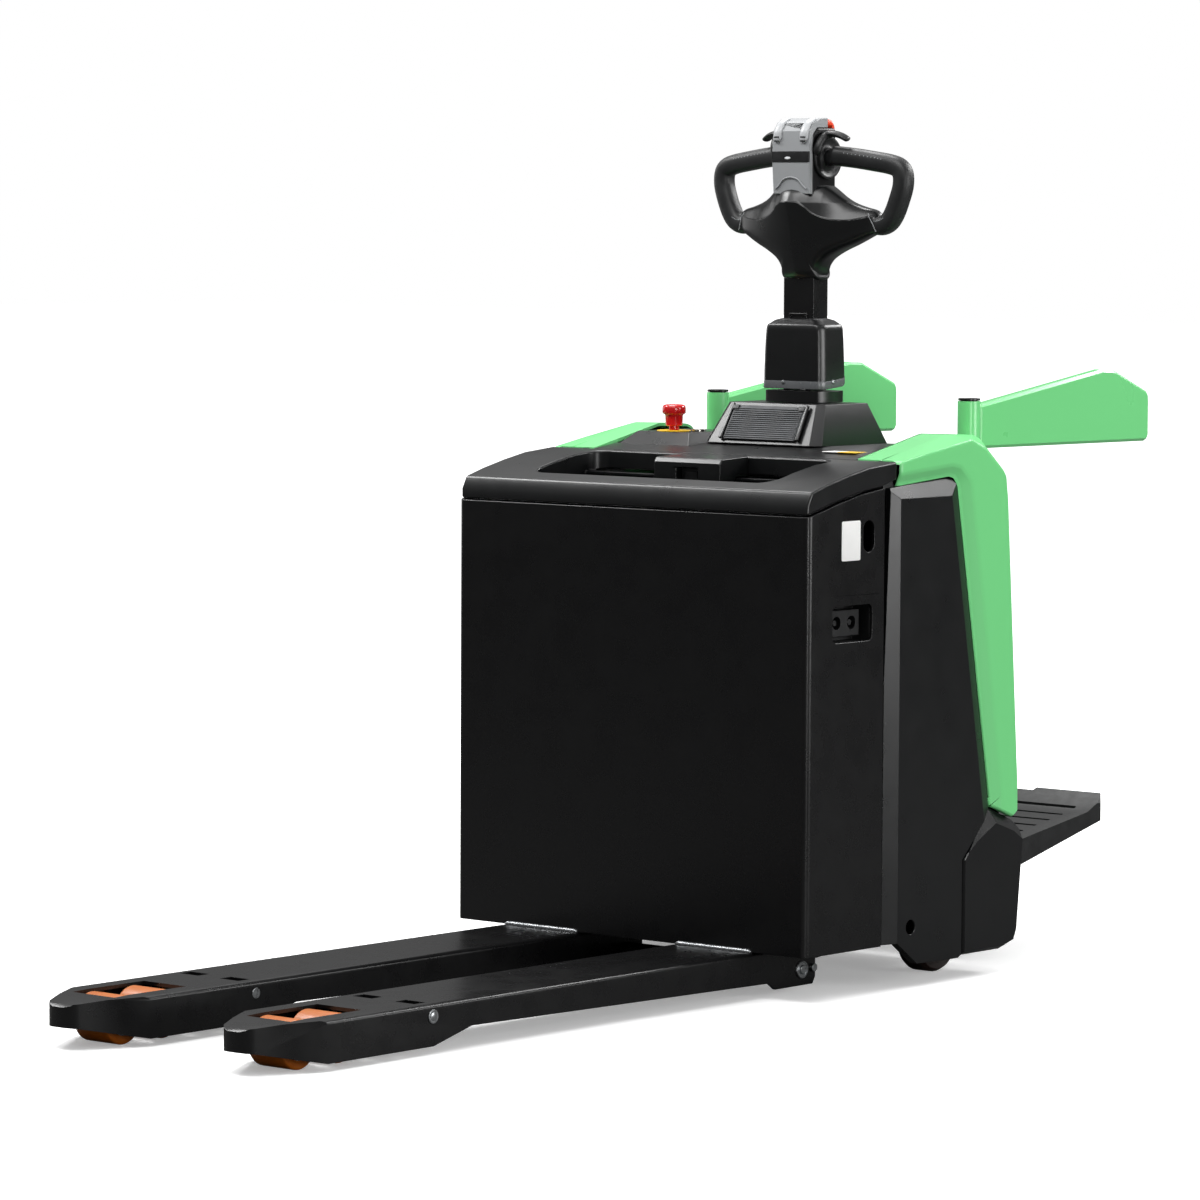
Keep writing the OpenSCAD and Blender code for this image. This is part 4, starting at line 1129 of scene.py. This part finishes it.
class TRUCK_OT_tiller(bpy.types.Operator):
    """Tiller base, cap and stem with their trim"""

    bl_idname = "truck.tiller"
    bl_label = "Tiller"

    def execute(self, context):
        refined("tiller_base", black_moulding(), 1.5 * MM)
        self.cap()
        refined("tiller_stem", powder_coat(), 2.0 * MM)
        self.screws(self.collar())
        return {"FINISHED"}

    def plan(self):
        """The tiller's footprint with rounded corners."""
        return round_corners([(-63, -28), (-56, -40), (56, -40), (63, -28), (63, 27), (53, 35),
                              (-53, 35), (-63, 27)], 12, 6)

    def rear_arc(self, grid):
        """How far the foot of cap and collar climbs: up to 12 mm, as the square of the way from
        2 mm behind the steering axis to the rear edge."""
        return 12 * np.clip((grid[..., 1] - 2) / 33, 0, 1) ** 2

    def cap(self):
        """A domed hood: its plan at height z is the footprint times w(z), which falls slowly up to
        the shoulder and then as a quarter circle. It is open below, with a skin 4 mm thick, and
        its rear edge is cut away in an arc."""
        plan = self.plan()
        turn = np.linspace(0, np.pi / 2, 9)
        z = np.concatenate([[1010, 1030, 1060, 1085], 1098 + 14 * np.sin(turn)])
        w = np.concatenate([[1.05, 1.048, 1.035, 1.02], 0.92 + 0.085 * np.cos(turn)])
        z = np.append(z, [1118, 1121, 1122])
        w = np.append(w, [0.78, 0.62, 0.5])
        rows = [np.column_stack([plan * k, np.full(len(plan), h)]) for k, h in zip(w, z)]
        outer = np.array(rows)
        inner = outer[::-1] * [0.92, 0.9, 1] - [0, 0, 4]
        inner[-1, :, 2] = 1010
        grid = np.concatenate([outer, inner])
        grid[..., 2] = np.maximum(grid[..., 2], 1010 + self.rear_arc(grid))
        piece = make_piece("tiller_cover_finished", [(on_tiller(grid), True)], black_moulding(),
                           "tiller", 60)
        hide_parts("tiller_cover")

    def collar(self):
        """A grey strip round the cap's foot, which climbs 12 mm towards its rear."""
        plan = self.plan()
        rows = [np.column_stack([plan * k, np.full(len(plan), h)])
                for k, h in ((1.02, 999), (1.055, 999.6), (1.064, 1001), (1.06, 1011),
                             (1.05, 1013), (0.96, 1013), (0.96, 999))]
        grid = np.array(rows)
        grid[..., 2] += self.rear_arc(grid)
        return make_piece("tiller_collar", [(on_tiller(grid), True)], collar_moulding(),
                          "tiller", 40)

    def screws(self, collar):
        """Pan-head screws in the collar, and the mirror image of the side one."""
        profile = [(0, -1), (3.6, -1), (3.6, 0.8), (3.0, 1.8), (1.6, 2.3), (0, 2.4)]
        for name in ("front_screw", "side_screw"):
            place, normal = on_surface(name, collar)
            grid = lathe(profile, place, normal, 24)
            piece = make_piece(name, [grid], zinc_plate(), "tiller", 30)
            NAMED[name] = piece
        make_piece("left_side_screw", [mirrored(grid)], zinc_plate(), "tiller", 30)


class TRUCK_OT_head(bpy.types.Operator):
    """Moulded head shell and the two handles"""

    bl_idname = "truck.head"
    bl_label = "Head"

    def execute(self, context):
        shell = make_piece("head_shell_finished", [self.shell(), self.column(), self.neck_drum()],
                           black_moulding(), "tiller", 40)
        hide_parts("head_shell")
        self.seams()
        self.handles()
        return {"FINISHED"}

    def shell(self):
        """The winged body: rings s from the middle of the front, over the rim and to the middle of
        the back. A ring is the outline shrunk towards the heart by s, and its depth is the front's
        or the back's depth times (1 - s^12)^(1/3), so the rim is tightly rounded."""
        right = np.array([
            (36, 1188), (38, 1199), (43, 1212), (55, 1225), (78, 1238), (106, 1250), (131, 1262),
            (147, 1271), (152, 1280), (153, 1292), (151, 1303), (142, 1310), (122, 1315),
            (100, 1322), (82, 1331), (66, 1342), (54, 1350), (46, 1352)], float)
        outline = np.vstack([[(0, 1187)], right, [(0, 1353)], right[::-1] * [-1, 1]])
        outline = smooth_path(outline, 9, ring=True)
        heart = np.array([0.0, 1290.0])
        s = np.concatenate([np.linspace(0.02, 0.9, 60), np.linspace(0.915, 1, 14)])
        flat = heart + s[:, None, None] * (outline - heart)
        round_rim = (1 - s ** 12)[:, None] ** (1 / 3)
        x, z = np.abs(flat[..., 0]), flat[..., 1]
        front = np.dstack([flat[..., 0], self.front_depth(x, z, round_rim), z])
        back = np.dstack([flat[..., 0], self.back_depth(x, round_rim), z])
        return on_tiller(np.concatenate([front, back[::-1][1:]]))

    def middle_depth(self, x):
        """Where the rim lies: the wings sweep back, 16 mm at their ends."""
        return 16 * np.clip(x / 150, 0, 1) ** 1.4

    def lip(self, x):
        """Height of the wavy edge between the front and the shoulders."""
        wave = smooth_path([(0, 1323.5), (17, 1323), (30, 1315.5), (46, 1302.6), (70, 1294),
                            (100, 1291.5), (124, 1294.5), (152, 1302)], 8)
        return np.interp(x, wave[:, 0], wave[:, 1])

    def front_depth(self, x, z, rim=1.0):
        """A beak: the front stands out 29 mm at the neck and 56 mm at its lip, thins towards the
        wings, and above the lip falls back as a shoulder."""
        spread = np.clip(x / 152, 0, 1)
        climb = np.clip((z - 1192) / 130, 0, 1)
        out = (29 + 27 * climb) * (1 - 0.62 * spread ** 1.3)
        over = np.clip(z - self.lip(x), 0, None)
        out = out - 1.4 * np.clip(over / 1.2, 0, 1) - 0.7 * over * np.clip(x / 90, 0.6, 1)
        return self.middle_depth(x) - np.clip(out, 3, None) * rim

    def back_depth(self, x, rim):
        """The back is nearly flat, 26 mm behind the rim's plane and 14 mm at the wings."""
        spread = np.clip(x / 152, 0, 1)
        return self.middle_depth(x) + (26 - 12 * spread) * rim

    def seams(self):
        """Thin light grey beads where the front meets the wings' ends: a painted highlight line."""
        x = np.linspace(137, 152, 24)
        z = 1304 - 31 * ((x - 137) / 15) ** 1.2
        y = self.front_depth(x, z, (1 - 0.93 ** 12) ** (1 / 3)) - 0.2
        bead = tube(on_tiller(np.column_stack([x, y, z])), 0.9 * MM, 10)
        # The beads' light grey is a painted highlight along the seams, not a colour of the moulding
        make_piece("wing_seam_highlights", [bead, mirrored(bead)], grey_moulding(), "tiller")

    def column(self):
        """The upright behind the console, carried across from side to side."""
        profile = round_corners([(-36, 1325), (-36, 1438), (-21, 1451.5), (27, 1451.5),
                                 (30, 1448), (30, 1325)], 4, 6)
        return band(profile[::-1], 40.5, 3)

    def neck_drum(self):
        """The round housing of the throttle's shaft, across the head's top."""
        centre = on_tiller([0, 4, 1400])
        profile = [(0, -40), (33, -40), (36, -37), (36, 37), (33, 40), (0, 40)]
        return lathe(profile, centre, (1, 0, 0), 64)

    def handles(self):
        """Two rounded tubes from the head to a corner and back into a wing, with a row of moulded
        dots on the grip."""
        x = 216 - 18
        route = [(64, 4, 1403), (66, 4, 1403), (100, 9, 1399.5), (140, 13, 1394), (x - 27, 16, 1389),
                 (x - 9, 17, 1383), (x - 0.5, 17.5, 1372), (x, 17.5, 1352), (x - 7, 17, 1329),
                 (x - 17, 17, 1306), (x - 28, 17, 1291), (x - 43, 17, 1284), (x - 60, 17, 1286)]
        path = on_tiller(smooth_path(route, 10))
        ends = np.clip(np.arange(len(path)) / 9, 0, 1)
        radius = sizes().grip * (0.72 + 0.28 * np.sin(ends * np.pi / 2)) * 0.96
        piece = make_pair("handle", [tube(path, radius, 40, power=0.8)], soft_grip(), "tiller")
        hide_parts("handles")
        self.dots(path)

    def dots(self, path):
        """Small domes along the front of each grip, 4 mm apart."""
        line = path[(path[:, 0] > 88 * MM) & (path[:, 0] < 168 * MM)]
        run = np.linspace(0, 1, 21)
        where = np.array([np.interp(run, np.linspace(0, 1, len(line)), line[:, k])
                          for k in range(3)]).T
        where = where + np.array([0, -16.4, 7.2]) * MM
        domes = [lathe([(0, -0.5), (1.1, 0), (0.8, 0.6), (0, 0.9)], p, (0, -0.87, 0.49), 8)
                 for p in where]
        make_pair("grip_dots", domes, stitch_thread(), "tiller")


class TRUCK_OT_controls(bpy.types.Operator):
    """Console, thumb buttons, throttle and the orange safety button"""

    bl_idname = "truck.controls"
    bl_label = "Controls"

    def execute(self, context):
        self.console()
        self.throttle()
        self.safety_button()
        self.buttons()
        return {"FINISHED"}

    def console(self):
        """Light grey cover in two tones over the front and top of the head."""
        panel = refined("console", grey_moulding(), 2.0 * MM, 3, 20)
        strip = round_corners([(-47.2, 1392), (-47.2, 1411), (-43, 1411), (-43, 1392)], 0.8)
        make_piece("console_band", [band(strip[::-1], 41, 1)], dark_moulding(), "tiller")
        arch = smooth_path([(-34, 1346), (-26, 1352), (-16, 1362), (0, 1366), (16, 1362),
                            (26, 1352), (34, 1346)], 8)
        line = np.column_stack([arch[:, 0], -43.2 - (arch[:, 1] - 1337) * 0.0755, arch[:, 1]])
        make_piece("console_arch", [tube(on_tiller(line), 1.5 * MM, 10)], grey_moulding(),
                   "tiller")
        self.lens(panel)

    def lens(self, panel):
        """Small oval lens of the display light, in the dark band."""
        place, _ = on_surface("console_lens", panel)
        origin = (place[0], STEER_Y - 47.2 * MM, place[2])
        lens = pad(oval(6.5, 2.4), -0.5, 0.9, 0.5, origin, (1, 0, 0), (0, 0, 1), bulge=0.3)
        NAMED["console_lens"] = make_piece("console_lens", [lens], clear_lens(), "tiller")

    def buttons(self):
        """Long grey thumb buttons over the console's shoulder; two dark pads at the foot are painted
        shade standing for slots.
        """
        route = smooth_path([(29, -45.6, 1424), (29, -45.3, 1436), (29, -43, 1446),
                             (29, -35, 1458), (29, -23, 1465.2), (29, -10, 1467.2)], 8)
        ridge = flat_rod(on_tiller(route), 9 * MM, 3.4 * MM, (1, 0, 0))
        up = np.array([0, 0.1, 0.995])
        # Dark pads raised 0.4 mm on the button: painted shade standing for two slots, not openings
        slots = []
        for z in (-3.5, 3.5):
            slots.append(pad(rounded_box(-5.5, -1.3, 5.5, 1.3, 1), -1, 0.4, 0.2,
                             on_tiller([29, -48.8, 1432 + z]), (1, 0, 0), up))
        for side, turn in SIDES:
            body = side + "_rocker_button"
            piece = make_piece(body + "_finished", [turn(ridge)], button_moulding(), body)
            make_piece(body + "_painted_slot_shades", [turn(g) for g in slots], dark_moulding(), body)
            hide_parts(body)

    def throttle(self):
        """A grooved drum on each side, its hub, and a thumb lever with an oval pad and an ear."""
        centre = on_tiller([0, 4, 1400])
        drum = lathe([(0, 41), (35.5, 41), (37.5, 42), (38, 44), (37, 46), (34.5, 46.8),
                      (31, 45.6), (28, 43.6), (22, 43.2), (18, 44.6), (16.5, 47), (0, 47)],
                     centre, (1, 0, 0), 72)
        hub = lathe([(0, 46), (15, 46), (14, 60), (12, 64), (0, 64)], centre, (1, 0, 0), 40)
        shaft = lathe([(0, -46), (9, -46), (9, 46), (0, 46)], centre, (1, 0, 0), 32)
        ear_path = smooth_path([(44, -4, 1434), (54, -6, 1440), (66, -5, 1441), (78, -3, 1438),
                                (88, -1, 1433), (93, 0, 1430)], 8)
        t = np.linspace(0, 1, len(ear_path))
        ear = flat_rod(on_tiller(ear_path), (14 - 5 * t) * MM, (6.5 - 2 * t) * MM)
        neck_path = smooth_path([(46, -30, 1402), (48, -30, 1418), (50, -22, 1432),
                                 (52, -8, 1441), (52, 10, 1441)], 8)
        neck = flat_rod(on_tiller(neck_path), 8 * MM, 6 * MM, (1, 0, 0))
        dish = pad(oval(13, 9.5), -3, 4.4, 2.5, on_tiller([54, -6, 1442]), (1, 0, 0),
                   (0, 0.94, 0.34), bulge=-2.2)
        right = [drum, hub, ear, neck, dish]
        piece = make_piece("throttle_finished", [shaft, *right, *[mirrored(g) for g in right]],
                           dark_moulding(), "throttle", 45)
        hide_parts("throttle")

    def safety_button(self):
        """A soft dome over the operator's end: a superellipse section that swells towards +Y."""
        y = np.linspace(14, 50, 30)
        t = (y - 14) / 36
        ex, ez = (squared(wave(turns(64)), 0.55) for wave in (np.cos, np.sin))
        half_x = 32 * (1 - t ** 6) ** 0.5 + 0.01
        rounding = 16 * np.clip((t - 0.82) / 0.18, 0, 1) ** 2
        low = 1453 - 33 * np.clip((t - 0.45) / 0.2, 0, 1)
        high = 1468.5 - 6 * t ** 2.2 - rounding
        low = np.minimum(low + rounding, high - 1)
        middle, half_z = (low + high) / 2, (high - low) / 2
        grid = np.stack([half_x[:, None] * ex, np.repeat(y[:, None], 64, 1),
                         middle[:, None] + half_z[:, None] * ez], -1)
        piece = make_piece("belly_button_finished", [on_tiller(grid)], orange_rubber(),
                           "belly_button", 60)
        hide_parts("belly_button")


NAMED = {}
OPERATORS = (
    TRUCK_OT_stage, TRUCK_OT_forks, TRUCK_OT_load_rollers, TRUCK_OT_battery_box, TRUCK_OT_lid,
    TRUCK_OT_deck, TRUCK_OT_pod, TRUCK_OT_side_covers, TRUCK_OT_chassis, TRUCK_OT_wheels,
    TRUCK_OT_arms_and_step, TRUCK_OT_tiller, TRUCK_OT_head, TRUCK_OT_controls,
)


class TRUCK_PT_panel(bpy.types.Panel):
    """Sizes, colours and the operators in order"""

    bl_idname = "TRUCK_PT_panel"
    bl_label = "Pallet truck"
    bl_space_type = "VIEW_3D"
    bl_region_type = "UI"
    bl_category = "Truck"

    def draw(self, context):
        for group in (context.scene.truck_sizes, context.scene.truck_colours,
                      context.scene.truck_stage):
            for name in group.__annotations__:
                self.layout.prop(group, name)
        for operator in OPERATORS:
            self.layout.operator(operator.bl_idname)


GROUPS = {"truck_sizes": TruckSizes, "truck_colours": TruckColours,
          "truck_stage": StageSettings}


def register():
    for group in (*GROUPS.values(), *OPERATORS, TRUCK_PT_panel):
        bpy.utils.register_class(group)
    for name, group in GROUPS.items():
        setattr(bpy.types.Scene, name, bpy.props.PointerProperty(type=group))


def unregister():
    for name in GROUPS:
        delattr(bpy.types.Scene, name)
    for group in reversed((*GROUPS.values(), *OPERATORS, TRUCK_PT_panel)):
        bpy.utils.unregister_class(group)


def write_sizes():
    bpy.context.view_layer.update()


def write_points():
    """Where in x and y the truck's outermost points and the middle of each named thing fall in the
    image. Hidden vertices count too, and the battery box's two corners are those of its CAD box."""
    truck = in_photo(np.concatenate([finished_points(piece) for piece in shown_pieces()]))
    shown = {"truck_left": truck[truck[:, 0].argmin()], "truck_right": truck[truck[:, 0].argmax()],
             "truck_top": truck[truck[:, 1].argmin()],
             "truck_bottom": truck[truck[:, 1].argmax()]}
    for name, thing in NAMED.items():
        marks = in_photo(finished_points(thing) if isinstance(thing, bpy.types.Object) else thing)
        shown[name] = (marks.min(0) + marks.max(0)) / 2


def main():
    register()
    for operator in OPERATORS:
        group, name = operator.bl_idname.split(".")
        getattr(getattr(bpy.ops, group), name)()
    write_sizes()
    write_points()


if __name__ == "__main__":
    main()
